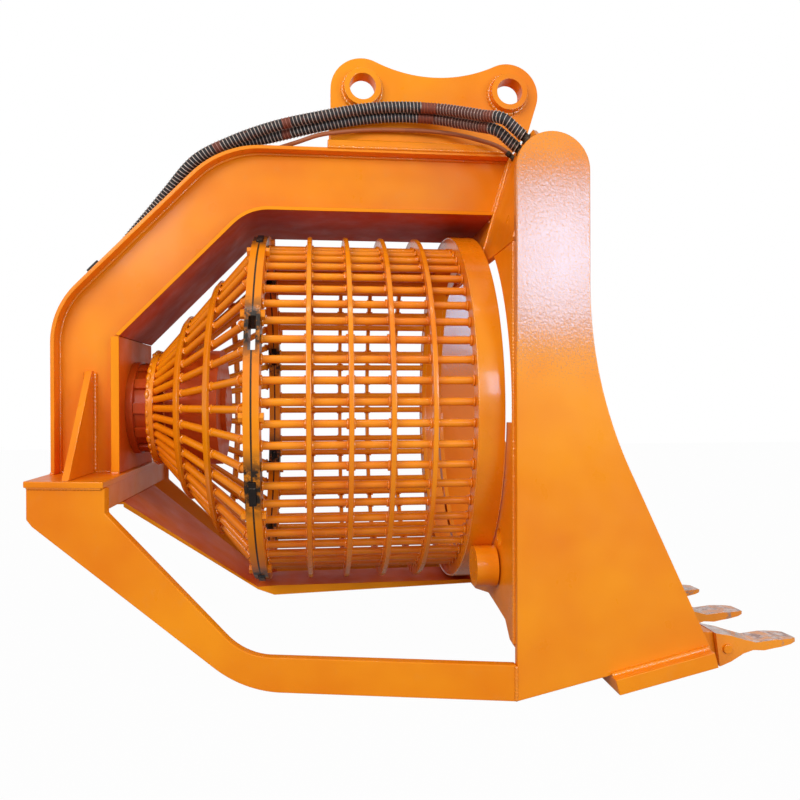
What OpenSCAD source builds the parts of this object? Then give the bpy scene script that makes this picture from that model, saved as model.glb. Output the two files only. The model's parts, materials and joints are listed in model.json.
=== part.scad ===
// Rotary screening bucket for an excavator: a barred drum turns in a C-shaped box frame
// behind a fixed, toothed scoop mouth. All lengths are in millimetres.
// The modules work in the drum's frame: x runs forward along the drum axis from the rear face
// of the mouth plate, y points away from the near side, z is up from the drum axis.
// At the end everything is moved so that the origin is the arm pin axis at mid width.

/* [Drum cage] */
// Outer radius of the drum hoops
drum_r = 560; // [540:5:580]
// Length of the bars between the front ring and the split flange
cage_l = 579; // [540:1:640]
// Number of bars round the cage
bar_count = 56; // [40:1:56]
// Diameter of the bars
bar_d = 22; // [16:1:24]
// Number of hoops on the cage
hoop_count = 4; // [2:1:6]
// Radial depth of a hoop
hoop_depth = 30; // [20:1:34]
// Thickness of a hoop along the axis
hoop_t = 14; // [8:1:20]
// Distance from the split flange to the first hoop
hoop_end_gap = 128; // [80:1:150]

/* [Drum front ring and split flange] */
// Width of the front ring, on which the support rollers run
band_w = 73; // [60:1:90]
// Height of the front ring above the hoops
band_rise = 8; // [2:1:10]
// Wall of the front ring
band_wall = 18; // [12:1:24]
// Thickness of one flange ring at the split
flange_t = 21; // [16:1:26]
// Radial depth of the flange rings
flange_depth = 80; // [74:1:90]
// Number of flange bolts
flange_bolt_count = 12; // [4:1:12]
// Shank diameter of a flange bolt
flange_bolt_d = 16; // [12:1:16]
// Width across flats of the flange bolts
flange_bolt_af = 24; // [22:1:26]
// Height of a bolt head and of a nut
bolt_head_h = 12; // [8:1:14]
// Tangential length of a splice block
splice_l = 72; // [50:1:72]
// Axial width of a splice block
splice_w = 20; // [10:1:30]

/* [Drum cone] */
// Length of the cone bars along the axis
cone_l = 308; // [280:1:340]
// Number of bars round the cone
cone_bar_count = 40; // [24:1:40]
// Outer radius of the ring at the small end
cone_end_r = 185; // [180:1:200]
// Bore radius of the ring at the small end
cone_end_bore_r = 120; // [114:1:126]
// Thickness of the ring at the small end
cone_end_t = 22; // [12:1:30]
// Width of a cone hoop along the bars
cone_hoop_w = 22; // [14:1:30]
// Thickness of a cone hoop square to the bars
cone_hoop_t = 10; // [6:1:14]

/* [Drive] */
// Outer radius of the drive can
can_r = 188; // [170:1:195]
// Length of the drive can
can_l = 117; // [90:1:130]
// Outer radius of the neck behind the can
neck_r = 140; // [130:1:150]
// Length of the neck
neck_l = 50; // [30:1:60]
// Length of the drive lugs between the neck and the cone ring
lug_l = 24; // [16:1:30]
// Number of drive lugs
lug_count = 8; // [4:1:10]
// Wall of the can's front disc
can_disc_t = 32; // [20:1:40]
// Radius of the fixed gearbox housing
gearbox_r = 100; // [80:1:104]
// Radius of the fixed spindle that carries the drum
spindle_r = 50; // [35:1:60]
// Radius of the gearbox flange on the mount plate
gear_flange_r = 150; // [140:1:170]
// Thickness of the gearbox flange
gear_flange_t = 22; // [12:1:30]
// Number of square bolt blocks on the gearbox flange
block_count = 11; // [8:1:16]
// Axial height of a bolt block
block_h = 39; // [20:1:44]
// Width of a bolt block
block_w = 34; // [16:1:36]
// Height of a bolt block above the hub between the blocks
block_rise = 11; // [6:1:14]
// Radius of the hydraulic motor
motor_r = 65; // [50:1:80]
// Length of the hydraulic motor
motor_l = 118; // [80:1:140]

/* [Box frame] */
// Depth of the box section
box_depth = 198; // [180:1:220]
// Ledge of the wrap plates outside the ears
wrap_ledge = 22; // [14:1:40]
// Thickness of the wrap plates
wrap_t = 12; // [8:1:20]
// Distance of the web plates inside the wrap plates' edges
web_inset = 47; // [36:1:60]
// Thickness of the web plates
web_t = 20; // [12:1:30]
// Thickness of the motor mount plate
mount_t = 25; // [16:1:36]
// Slope of the diagonal part of the frame in degrees
diagonal_slope = 45.5; // [45:0.5:47]
// Height of the drum's top above the frame's rear corner
rear_corner_drop = 261; // [245:1:275]
// Radius of the upper bend, outside
upper_bend_r = 300; // [240:5:340]
// Radius of the lower bend, outside
lower_bend_r = 250; // [200:5:270]
// Radius of the upper bend, inside
inner_bend_r = 150; // [100:5:180]
// Clearance between the hoops and the top of the frame
top_gap = 48; // [40:1:60]

/* [Ears] */
// Distance of the arm pin in front of the mouth plate
arm_pin_x = 100; // [80:1:110]
// Distance between the two pins
pin_distance = 466; // [440:1:480]
// Height of the arm pin above the base plate
pin_h = 169; // [160:1:190]
// Height of the link pin below the arm pin
link_drop = 4; // [0:1:20]
// Radius of the pin bores
pin_bore_r = 40; // [30:1:45]
// Outer radius of the pin bosses
boss_r = 58; // [50:1:62]
// How far a boss stands out of its ear
boss_out = 30; // [10:1:40]
// Clear distance between the ears
ear_gap = 320; // [280:1:340]
// Thickness of an ear plate
ear_t = 30; // [20:1:40]
// Radius of the ear ends
ear_end_r = 99; // [80:1:106]
// Thickness of the base plate under the ears
base_t = 25; // [16:1:36]

/* [Mouth] */
// How far the mouth side plates stand out past the drum
mouth_margin = 90; // [80:1:120]
// Thickness of the mouth side plates
side_t = 25; // [16:1:30]
// Radius of the rounded top of a side plate
side_top_r = 99; // [85:1:115]
// Height of the centre of the side plate's round top above the drum
side_top_rise = 60; // [40:1:80]
// Height above the drum axis where the front edge starts to flare
side_waist_z = 71; // [50:1:100]
// Angle of the flared front edge from the vertical in degrees
side_flare = 25; // [22:0.5:26]
// Radius that blends the straight front edge into the flare
side_flare_r = 1150; // [900:10:1250]
// Rise of the lip towards the front in degrees
lip_pitch = 12.5; // [10:0.5:14]
// Thickness of the mouth back plate
back_t = 16; // [10:1:24]
// Thickness of the leaning top plate
lean_t = 16; // [10:1:24]
// Lean of the top plate in degrees
lean = 16.8; // [14:0.1:18]
// Height of the drum's top above the foot of the leaning top plate
lean_drop = 122; // [110:1:140]
// Thickness of the floor plate
floor_t = 16; // [10:1:24]
// Thickness of the cutting lip
lip_t = 42; // [30:1:50]
// Length of the cutting lip from back to front
lip_l = 277; // [240:1:285]
// How far the lip sticks out past each side plate
lip_out = 30; // [10:1:50]

/* [Teeth] */
// Number of teeth
tooth_count = 5; // [4:1:6]
// Length of a tooth
tooth_l = 255; // [220:1:280]
// Height of a tooth at its root
tooth_h = 94; // [84:1:106]
// Width of a tooth at its root
tooth_w = 96; // [80:1:110]
// Diameter of a tooth pin
tooth_pin_d = 26; // [18:1:28]

/* [Skid legs and rear base] */
// Height of the ground below the hoops
ground_gap = 192; // [180:1:200]
// Half distance between the legs' outer faces at the rear
leg_rear_y = 375; // [360:1:390]
// Thickness of a leg plate
leg_t = 28; // [16:1:36]
// Height of the level part of a leg
leg_foot_h = 94; // [80:1:110]
// Width of a leg under the shelf
leg_top_w = 227; // [200:1:240]
// Clearance between the gearbox flange and the shelf
shelf_clear = 45; // [40:1:60]
// Thickness of the shelf
shelf_t = 18; // [12:1:24]
// Height of the rear cross beam
cross_h = 67; // [50:1:76]
// Thickness of a gusset rib
rib_t = 20; // [10:1:30]
// Height of a gusset rib
rib_h = 310; // [260:1:340]

/* [Under beam] */
// Half width of the under beam below the drum
beam_half_w = 95; // [70:1:120]
// Half width of the under beam at the rear
beam_rear_half_w = 205; // [150:1:220]
// Thickness of the under beam's plate
beam_t = 8; // [6:1:10]
// Thickness of the under beam's side lips
beam_lip_t = 10; // [6:1:16]
// Clearance between the hoops and the under beam
belly_gap = 15; // [13:1:24]

/* [Support rollers] */
// Radius of a support roller
roller_r = 57; // [50:1:62]
// Length of a support roller
roller_l = 62; // [50:1:64]
// Angle of the rollers below the horizontal, in degrees
roller_angle = 46; // [44:0.5:48]
// Radius of a roller axle
roller_axle_r = 20; // [14:1:26]

/* [Hydraulic lines] */
// Outer radius of a hose over its spiral guard
hose_r = 18.5; // [16:0.5:18.5]
// Bore radius of a hose
hose_bore_r = 10; // [8:0.5:12]
// Depth of the grooves of the spiral guard
hose_groove = 2; // [1:0.25:3]
// Number of ribs of the spiral guard
hose_rib_count = 75; // [40:1:80]
// Radius of the thin drain line
drain_r = 7; // [5:0.5:7]

/* [Hidden] */

$fn = 96;
bore_fn = 48;
small_fn = 24;
// Overrun of every cut past the body that it cuts
over = 5;
// Gap between pieces that lie close
gap = 0.3;
// Room left where a plate rests on a sloping face
seat_gap = 0.02;
// Radial running clearance of a shaft in its bore
running = 0.05;
orange_paint = [0.97, 0.58, 0.2];
dark_steel = [0.19, 0.16, 0.15];
rubber_black = [0.12, 0.11, 0.11];
line_brown = [0.45, 0.2, 0.12];

// Places along the axis, from the mouth backwards
mouth_gap = 7;
band_front_x = -mouth_gap;
band_back_x = band_front_x - band_w;
flange_front_x = band_back_x - cage_l;
split_x = flange_front_x - flange_t;
flange_back_x = split_x - flange_t;
cone_ring_x = flange_back_x - cone_l;
hub_gap = 7;
neck_wall = 28;
block_edge = 5;
block_hub_r = gear_flange_r - block_edge - block_rise;
lug_depth = 13;
lug_inset = 2;
lug_w_share = 1.5;
motor_collar_share = 0.2;
motor_box_shares = [0.5, 1, 1.3];
mount_face_x = cone_ring_x - cone_end_t - hub_gap - block_h - gear_flange_t;
frame_rear_x = mount_face_x - box_depth;

// Heights and widths that follow the drum and the ears
frame_top_z = drum_r + top_gap + box_depth;
rear_corner_z = drum_r - rear_corner_drop;
shelf_z = gear_flange_r + shelf_clear + shelf_t;
lean_z = drum_r - lean_drop;
side_top_z = drum_r + side_top_rise;
mouth_w = 2 * (drum_r + mouth_margin);
wrap_half_w = ear_gap / 2 + ear_t + wrap_ledge;
web_half_w = wrap_half_w - web_inset;
tooth_space = mouth_w / tooth_count;

// Drum radii
band_r = drum_r + band_rise;
bar_pitch_r = drum_r - hoop_depth - bar_d / 2 - gap;
flange_inner_r = drum_r - flange_depth;
bolt_edge = 1;
bolt_pitch_r = drum_r - bolt_edge - flange_bolt_af / 2 / cos(30);
hoop_pitch = (cage_l - hoop_end_gap) / hoop_count;
first_bar_angle = 66.5;
first_bolt_angle = -2;
first_splice_angle = 66.5;
splice_count = 8;
splice_rise = 6;
splice_inset = 20;
splice_open_place = 1;
splice_open_share = 1.4;

// The cone bars' axes, from the flange to the small ring
cone_bar_inset = 46;
cone_end_inset = 21;
cone_front_axis_r = drum_r - cone_bar_inset;
cone_end_axis_r = cone_end_r - cone_end_inset;
cone_slope = atan2(cone_front_axis_r - cone_end_axis_r, cone_l);
cone_hoop_shares = [0.338, 0.669];
cone_hoop_seat = bar_d / 2 + gap;

// Box frame outline: offset d goes inwards from the outer contour
function corner_rear(d) = [frame_rear_x + d,
    rear_corner_z + d * tan(diagonal_slope) - d / cos(diagonal_slope)];
function corner_upper(d) = [frame_rear_x + (frame_top_z - d - rear_corner_z
    + d / cos(diagonal_slope)) / tan(diagonal_slope), frame_top_z - d];
function lean_x(z) = (z - lean_z) * tan(lean);
function unit(v) = v / norm(v);
function turn(a) = a > 180 ? a - 360 : a < -180 ? a + 360 : a;
function fillet(a, b, c, r, n = 16) =
    let (u = unit(a - b), v = unit(c - b), half = acos(u * v) / 2,
         centre = b + unit(u + v) * r / sin(half),
         p = b + u * r / tan(half) - centre, q = b + v * r / tan(half) - centre,
         start = atan2(p[1], p[0]), sweep = turn(atan2(q[1], q[0]) - start))
    [for (i = [0 : n]) centre + r * [cos(start + sweep * i / n), sin(start + sweep * i / n)]];
function reversed(v) = [for (i = [len(v) - 1 : -1 : 0]) v[i]];
function front_end(d) = [lean_x(frame_top_z - d), frame_top_z - d];
function outer_path(d) = concat([front_end(d)],
    fillet(front_end(d), corner_upper(d), corner_rear(d), upper_bend_r - d),
    fillet(corner_upper(d), corner_rear(d), rear_foot(d), lower_bend_r - d),
    [rear_foot(d)]);
function rear_foot(d) = [frame_rear_x + d, shelf_t - shelf_z];
function inner_path(d) = concat([front_end(d)],
    fillet(front_end(d), corner_upper(d), corner_rear(d), inner_bend_r + box_depth - d),
    [corner_rear(d)]);

// Ears
base_top_z = frame_top_z + base_t;
arm_pin_z = base_top_z + pin_h;
arm_pin = [arm_pin_x, arm_pin_z];
link_pin = [arm_pin_x - sqrt(pin_distance * pin_distance - link_drop * link_drop),
            arm_pin_z - link_drop];
ear_foot_share = 0.16;
ear_belly_shares = [0.66, -1.26];
ear_tangent = -17;
saddle_r_share = 0.966;
base_rear_out = 10;

// Mouth
ground_z = -drum_r - ground_gap;
side_inner_y = mouth_w / 2 - side_t;
hole_upper_r = drum_r + 40;
hole_lower_r = drum_r - 12;
hole_split_z = -36;
lip_start = 257;
lip_skew = 2;
lip_front = lip_start + lip_l;
function lip_point(s, n) = [s * cos(lip_pitch) - n * sin(lip_pitch),
                            ground_z + s * sin(lip_pitch) + n * cos(lip_pitch)];
floor_low_z = -drum_r - 4;
floor_foot = lip_point(lip_start + over, seat_gap);
floor_slope = atan2(floor_low_z - floor_foot[1], floor_foot[0] - back_t);
// Lower edge of the back plate, as shares of the half width and of the drum radius
back_edge_shares = [[1, -1.107], [0.92, -1.1], [0.845, -1.03], [0.69, -1.01], [0.533, -0.993],
                    [0.4, -1.022], [0.24, -1.056]];
relief_r = 24;
relief_angle = 38;
relief_pitch_r = drum_r + 30;
top_edge_share = 0.69;
top_corner_z = frame_top_z - 4;
top_side_z = side_top_z + side_top_r - 24;

// Teeth: profile and plan as shares of the tooth's length, height and width
tooth_pitch = 7.4;
tooth_reach = 63;
tooth_drop = 50;
tooth_root = lip_point(lip_front + tooth_reach, -tooth_drop);
tooth_profile_shares = [[0, 0.5], [0.18, 0.33], [0.33, 0.14], [0.47, -0.02], [0.68, -0.04],
                        [0.94, -0.14], [1, -0.23], [0.96, -0.28], [0.67, -0.285], [0.55, -0.3],
                        [0.42, -0.23], [0.3, -0.27], [0.14, -0.425], [0, -0.5]];
tooth_plan_shares = [[0, 0.5], [0.25, 0.46], [0.45, 0.42], [0.75, 0.43], [0.88, 0.37],
                     [0.96, 0.25], [1, 0.1]];
nose_profile_shares = [[0, 0.3], [0.25, 0.12], [0.25, -0.2], [0, -0.3]];
nose_w_share = 0.5;
pin_place_shares = [0.11, -0.02];
adapter_profile_shares = [[0, 0.49], [-0.1, 0.54], [-0.28, 0.63], [-0.55, 0.62], [-0.64, 0.5],
                          [-0.64, -0.2], [-0.55, -0.3], [-0.25, -0.44], [0, -0.49]];
adapter_w_share = 0.7;
adapter_gap = 1;
tooth_pin_side = 5;

// Skid legs
shelf_over = 8;
leg_x = frame_rear_x - shelf_over;
leg_splay = atan2(mouth_w / 2 - leg_rear_y, -leg_x);
leg_l = -leg_x / cos(leg_splay);
leg_knee = 612;
leg_heel_h = 89;
leg_chamfer = [17, -20];
leg_inner_drop = 68;
leg_outer_r = 315;
leg_inner_r = 175;
shelf_front_x = mount_face_x + 14;
cross_front_x = mount_face_x + 9;
cross_wall = 12;
rib_x = mount_face_x - 106;
rib_foot = 230;
rib_top = 20;

// Under beam, as places along x and z
beam_top_z = -drum_r - belly_gap;
beam_bend_x = flange_back_x + 1;
beam_rear_z = -shelf_z - cross_h;
beam_rear_x = cross_front_x;
beam_tongue = 60;
beam_lip_drop = 23;
beam_lip_front = 4;
beam_knee_x = flange_front_x + 10;

// Rollers
roller_pitch_r = band_r + roller_r + gap;
roller_front_x = -6;
roller_back_x = roller_front_x - roller_l;
roller_bore_l = 46;
roller_collar_r = 32;
roller_hole_r = 5;
roller_hole_depth = 12;
roller_hole_pitch_r = 38;
roller_hole_count = 6;

// Hydraulic lines: route points chosen by hand. The arch is given by x, the distance outside the
// wrap's near edge and the height above the frame's top. The bend counts x from the frame's upper
// corner. The slope counts down the slope from that corner, and its height is square to it.
upper_arch = [[88, 198, -16], [62, 198, 6], [36, 198, 28], [-20, 150, 57],
              [-75, 104, 83], [-135, 60, 107], [-318, 38, 113], [-501, 31, 81]];
upper_bend = [[146, 4, 51], [25, -4, 5]];
upper_slope = [[78, -16, 20], [222, -54, 22], [278, -74, 22], [409, -116, 22],
               [481, -146, 21], [520, -146, 21]];
lower_arch = [[82, 154, -36], [56, 154, -14], [30, 154, 8], [-30, 100, 45],
              [-80, 60, 68], [-135, 28, 88], [-318, 6, 94], [-501, -2, 62]];
lower_bend = [[146, -34, 33], [25, -46, 5]];
lower_slope = [[78, -60, 20], [222, -98, 22], [278, -118, 22], [409, -160, 22],
               [481, -190, 21], [520, -190, 21]];
drain_arch = [[93, 38, -20], [75, 38, -5], [-17, 22, 34], [-135, 4, 58],
              [-252, -3, 62], [-377, -3, 56], [-440, 6, 45], [-501, 10, 32],
              [-568, -8, 14]];
drain_bend = [[146, -72, 9], [25, -100, -7]];
drain_slope = [[88, -112, 7], [222, -140, 8], [278, -158, 9], [409, -200, 9],
               [481, -224, 9], [520, -224, 9]];
function on_slope(p) = let (u = corner_upper(0))
    [u[0] - p[0] * cos(diagonal_slope) - p[2] * sin(diagonal_slope), -wrap_half_w - p[1],
     u[1] - p[0] * sin(diagonal_slope) + p[2] * cos(diagonal_slope)];
function line_route(arch, bend, slope) = concat(
    [for (p = arch) [p[0], -wrap_half_w - p[1], frame_top_z + p[2]]],
    [for (p = bend) [corner_upper(0)[0] + p[0], -wrap_half_w - p[1], frame_top_z + p[2]]],
    [for (p = slope) on_slope(p)]);
hose_upper_route = line_route(upper_arch, upper_bend, upper_slope);
hose_lower_route = line_route(lower_arch, lower_bend, lower_slope);
drain_route = line_route(drain_arch, drain_bend, drain_slope);
hose_sides = 8;
drain_rings = 60;
bore_rings = 30;
union_r = 20;
union_slope = 40.2;
drain_union_r = 12;
block_l = 46;
port_block_half_w = 66;
port_block_h = 44;
port_block_inset = 178;

module at_pin() {
    translate([-arm_pin_x, 0, -arm_pin_z]) children();
}

module both_sides() {
    children();
    mirror([0, 1, 0]) children();
}

// A plate whose outline is drawn in x and z, from y to y + t
module plate_xz(y, t) {
    translate([0, y + t, 0]) rotate([90, 0, 0]) linear_extrude(t) children();
}

// A plate whose outline is drawn in y and z, from x to x + t
module plate_yz(x, t) {
    translate([x, 0, 0]) rotate([90, 0, 90]) linear_extrude(t) children();
}

// A disc or shaft along x
module shaft(x, l, r, fn = $fn) {
    translate([x, 0, 0]) rotate([0, 90, 0]) cylinder(h = l, r = r, $fn = fn);
}

// A flat ring along x
module ring(x, l, r, bore) {
    difference() {
        shaft(x, l, r);
        shaft(x - over, l + 2 * over, bore);
    }
}

// Places children, drawn above the axis, at an angle above the near side
module round_x(angle) {
    rotate([90 - angle, 0, 0]) children();
}

// Box frame

module web() {
    outer = outer_path(wrap_t);
    inner = reversed(inner_path(box_depth - wrap_t));
    mount_x = mount_face_x - mount_t;
    plate_xz(-web_half_w, web_t)
        polygon(concat(outer, [[mount_x, shelf_t - shelf_z], [mount_x, inner[0][1]]], inner));
}

module web_near() {
    color(orange_paint) at_pin() web();
}

module web_far() {
    color(orange_paint) at_pin() mirror([0, 1, 0]) web();
}

module outer_wrap() {
    color(orange_paint) at_pin() plate_xz(-wrap_half_w, 2 * wrap_half_w)
        polygon(concat(outer_path(0), reversed(outer_path(wrap_t))));
}

module inner_wrap() {
    color(orange_paint) at_pin() plate_xz(-wrap_half_w, 2 * wrap_half_w)
        polygon(concat(inner_path(box_depth), reversed(inner_path(box_depth - wrap_t))));
}

module motor_mount_plate() {
    top_z = corner_rear(box_depth)[1];
    foot_z = shelf_t - shelf_z;
    color(orange_paint) at_pin() difference() {
        translate([mount_face_x - mount_t, -wrap_half_w, foot_z])
            cube([mount_t, 2 * wrap_half_w, top_z - foot_z]);
        shaft(mount_face_x - mount_t - over, mount_t + 2 * over, gearbox_r - wrap_t + gap);
    }
}

// Ears

module ear_base_plate() {
    rear_x = link_pin[0] - ear_end_r - base_rear_out;
    color(orange_paint) at_pin() plate_xz(-wrap_half_w, 2 * wrap_half_w)
        polygon([[rear_x, frame_top_z], [lean_x(frame_top_z), frame_top_z],
                 [lean_x(base_top_z), base_top_z], [rear_x, base_top_z]]);
}

module ear_outline() {
    mid = (arm_pin + link_pin) / 2;
    half = pin_distance / 2;
    saddle_r = pin_distance * saddle_r_share;
    lift = sqrt(pow(saddle_r + ear_end_r, 2) - half * half);
    centre = mid + lift * unit([link_pin[1] - arm_pin[1], arm_pin[0] - link_pin[0]]);
    difference() {
        union() {
            translate(arm_pin) circle(ear_end_r);
            translate(link_pin) circle(ear_end_r);
            polygon([[link_pin[0] - ear_end_r, link_pin[1]], [link_pin[0] - ear_end_r, base_top_z],
                     [arm_pin_x + ear_foot_share * ear_end_r, base_top_z],
                     arm_pin + ear_end_r * ear_belly_shares,
                     arm_pin + ear_end_r * [cos(ear_tangent), sin(ear_tangent)],
                     arm_pin + ear_end_r * unit(centre - arm_pin),
                     link_pin + ear_end_r * unit(centre - link_pin)]);
        }
        translate(centre) circle(saddle_r);
    }
}

module ear() {
    plate_xz(-ear_gap / 2 - ear_t, ear_t) difference() {
        ear_outline();
        translate(arm_pin) circle(boss_r + gap);
        translate(link_pin) circle(boss_r + gap);
    }
}

module ear_near() {
    color(orange_paint) at_pin() ear();
}

module ear_far() {
    color(orange_paint) at_pin() mirror([0, 1, 0]) ear();
}

module pin_bosses() {
    color(orange_paint) at_pin() both_sides() for (pin = [arm_pin, link_pin])
        plate_xz(-ear_gap / 2 - ear_t - boss_out, ear_t + boss_out) translate(pin) difference() {
            circle(boss_r);
            circle(pin_bore_r);
        }
}

// Mouth

module side_plate() {
    waist = [2 * side_top_r, side_waist_z];
    heel = [0, ground_z];
    reach = (side_waist_z - ground_z - 2 * side_top_r * tan(lip_pitch))
        / (1 / tan(side_flare) + tan(lip_pitch));
    tip = [2 * side_top_r + reach, ground_z + (2 * side_top_r + reach) * tan(lip_pitch)];
    shoulder = [2 * side_top_r, side_top_z];
    plate_xz(-mouth_w / 2, side_t) union() {
        translate([side_top_r, side_top_z]) circle(side_top_r);
        polygon(concat([heel, tip], fillet(tip, waist, shoulder, side_flare_r),
                       [shoulder, [0, side_top_z]]));
    }
}

module side_plate_near() {
    color(orange_paint) at_pin() side_plate();
}

module side_plate_far() {
    color(orange_paint) at_pin() mirror([0, 1, 0]) side_plate();
}

module mouth_back_plate() {
    edge = [for (p = back_edge_shares) [p[0] * side_inner_y, p[1] * drum_r]];
    mirrored = [for (p = reversed(edge)) [-p[0], p[1]]];
    color(orange_paint) at_pin() plate_yz(0, back_t) difference() {
        polygon(concat([[-side_inner_y, lean_z], [side_inner_y, lean_z]], edge, mirrored));
        circle(hole_lower_r);
        intersection() {
            circle(hole_upper_r);
            translate([-hole_upper_r, hole_split_z]) square([2 * hole_upper_r, 2 * hole_upper_r]);
        }
        for (side = [-1, 1])
            translate(relief_pitch_r * [side * cos(relief_angle), -sin(relief_angle)])
                circle(relief_r);
    }
}

module mouth_top_plate() {
    start = lean_t * tan(lean);
    side_v = (top_side_z - lean_z) / cos(lean);
    top_v = (top_corner_z - lean_z) / cos(lean);
    half = side_inner_y * top_edge_share;
    color(orange_paint) at_pin() translate([0, 0, lean_z]) rotate([0, lean, 0])
        plate_yz(0, lean_t)
            polygon([[-side_inner_y, start], [side_inner_y, start], [side_inner_y, side_v],
                     [half, top_v], [-half, top_v], [-side_inner_y, side_v]]);
}

module mouth_floor() {
    run = floor_t / sin(floor_slope + lip_pitch);
    color(orange_paint) at_pin() plate_xz(-side_inner_y, 2 * side_inner_y)
        polygon([[back_t, floor_low_z], floor_foot, lip_point(lip_start + over + run, seat_gap),
                 [back_t, floor_low_z + floor_t / cos(floor_slope)]]);
}

module cutting_lip() {
    color(orange_paint) at_pin() plate_xz(-mouth_w / 2 - lip_out, mouth_w + 2 * lip_out)
        polygon([lip_point(lip_start, 0), lip_point(lip_front, 0),
                 lip_point(lip_front + lip_skew, -lip_t),
                 lip_point(lip_start + lip_skew, -lip_t)]);
}

// Teeth: children are drawn with the tooth's root at the origin and its tip along x
module tooth_rows() {
    for (i = [0 : tooth_count - 1])
        translate([tooth_root[0], tooth_space * (i + 0.5) - mouth_w / 2, tooth_root[1]])
            rotate([0, -tooth_pitch, 0]) children();
}

module tooth_pin_hole(r, half) {
    translate([pin_place_shares[0] * tooth_l, 0, pin_place_shares[1] * tooth_h])
        rotate([90, 0, 0]) cylinder(h = 2 * half, r = r, center = true, $fn = small_fn);
}

module nose(grow) {
    half = tooth_w * nose_w_share / 2 + grow;
    points = [for (p = nose_profile_shares) [p[0] * tooth_l + sign(p[0]) * grow,
                                             p[1] * tooth_h + sign(p[1]) * grow]];
    plate_xz(-half, 2 * half) polygon(points);
}

module tooth_adapters() {
    half = tooth_w * adapter_w_share / 2;
    outline = [for (p = adapter_profile_shares) [p[0] * tooth_l, p[1] * tooth_h]];
    color(orange_paint) at_pin() difference() {
        tooth_rows() difference() {
            union() {
                translate([-adapter_gap, 0, 0]) plate_xz(-half, 2 * half) polygon(outline);
                translate([-adapter_gap, 0, 0]) nose(0);
            }
            tooth_pin_hole(tooth_pin_d / 2 + gap, tooth_w);
        }
        plate_xz(-mouth_w / 2, mouth_w)
            polygon([lip_point(0, gap), lip_point(lip_front + gap, gap),
                     lip_point(lip_front + lip_skew + gap, -lip_t - gap),
                     lip_point(0, -lip_t - gap)]);
    }
}

module teeth() {
    profile = [for (p = tooth_profile_shares) [p[0] * tooth_l, p[1] * tooth_h]];
    plan = [for (p = tooth_plan_shares) [p[0] * tooth_l, p[1] * tooth_w]];
    back = [for (p = reversed(plan)) [p[0], -p[1]]];
    color(orange_paint) at_pin() tooth_rows() difference() {
        intersection() {
            plate_xz(-tooth_w, 2 * tooth_w) polygon(profile);
            translate([0, 0, -tooth_h]) linear_extrude(2 * tooth_h) polygon(concat(plan, back));
        }
        nose(adapter_gap);
        translate([-over, 0, 0]) nose(adapter_gap);
        tooth_pin_hole(tooth_pin_d / 2 + gap, tooth_w);
    }
}

module tooth_pins() {
    color(orange_paint) at_pin() tooth_rows()
        tooth_pin_hole(tooth_pin_d / 2, tooth_w / 2 + tooth_pin_side);
}

// Skid legs and rear base

module skid_leg() {
    knee = [leg_knee, ground_z];
    chamfer_z = -shelf_z - leg_heel_h;
    chamfer = [0, chamfer_z] + leg_chamfer;
    foot_top = ground_z + leg_foot_h;
    inner_top = [leg_top_w, -shelf_z - leg_inner_drop];
    inner_knee = [leg_knee, foot_top];
    front_low = [leg_l + leg_t, ground_z];
    front_top = [leg_l + leg_t, foot_top];
    difference() {
        translate([leg_x, -leg_rear_y, 0]) rotate([0, 0, -leg_splay]) plate_xz(0, leg_t)
            polygon(concat([[0, -shelf_z], [0, chamfer_z], chamfer],
                           fillet(chamfer, knee, front_low, leg_outer_r),
                           [front_low, front_top],
                           fillet(front_top, inner_knee, inner_top, leg_inner_r),
                           [inner_top, [leg_top_w, -shelf_z]]));
        translate([0, -mouth_w, ground_z - over])
            cube([mouth_w, mouth_w, leg_foot_h + 2 * over]);
    }
}

module skid_leg_near() {
    color(orange_paint) at_pin() skid_leg();
}

module skid_leg_far() {
    color(orange_paint) at_pin() mirror([0, 1, 0]) skid_leg();
}

module base_shelf() {
    rear_half = leg_rear_y + shelf_over;
    front_half = rear_half + (shelf_front_x - leg_x) * tan(leg_splay);
    color(orange_paint) at_pin() translate([0, 0, -shelf_z]) linear_extrude(shelf_t)
        polygon([[leg_x - shelf_over / 2, -rear_half], [shelf_front_x, -front_half],
                 [shelf_front_x, front_half], [leg_x - shelf_over / 2, rear_half]]);
}

module gusset_ribs() {
    foot_z = shelf_t - shelf_z;
    color(orange_paint) at_pin() both_sides() plate_yz(rib_x, rib_t)
        polygon([[-web_half_w, foot_z], [-web_half_w, foot_z + rib_h],
                 [-web_half_w - rib_top, foot_z + rib_h], [-web_half_w - rib_foot, foot_z]]);
}

module rear_cross_beam() {
    rear_x = leg_x + shelf_over;
    rear_half = leg_rear_y + shelf_over * tan(leg_splay) - leg_t / cos(leg_splay) - gap;
    front_half = rear_half + (cross_front_x - rear_x) * tan(leg_splay);
    color(orange_paint) at_pin() intersection() {
        plate_xz(-mouth_w / 2, mouth_w) difference() {
            translate([rear_x, -shelf_z - cross_h]) square([cross_front_x - rear_x, cross_h]);
            translate([rear_x + cross_wall, -shelf_z - cross_h + cross_wall])
                square([cross_front_x - rear_x - 2 * cross_wall, cross_h - 2 * cross_wall]);
        }
        translate([0, 0, -shelf_z - cross_h - over]) linear_extrude(cross_h + 2 * over)
            polygon([[rear_x, -rear_half], [cross_front_x, -front_half],
                     [cross_front_x, front_half], [rear_x, rear_half]]);
    }
}

module beam_plan(inset) {
    translate([0, 0, ground_z]) linear_extrude(drum_r)
        polygon([[beam_rear_x - beam_tongue - over, inset - beam_rear_half_w],
                 [beam_rear_x, inset - beam_rear_half_w], [beam_knee_x, inset - beam_half_w],
                 [over, inset - beam_half_w], [over, beam_half_w - inset],
                 [beam_knee_x, beam_half_w - inset], [beam_rear_x, beam_rear_half_w - inset],
                 [beam_rear_x - beam_tongue - over, beam_rear_half_w - inset]]);
}

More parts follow.
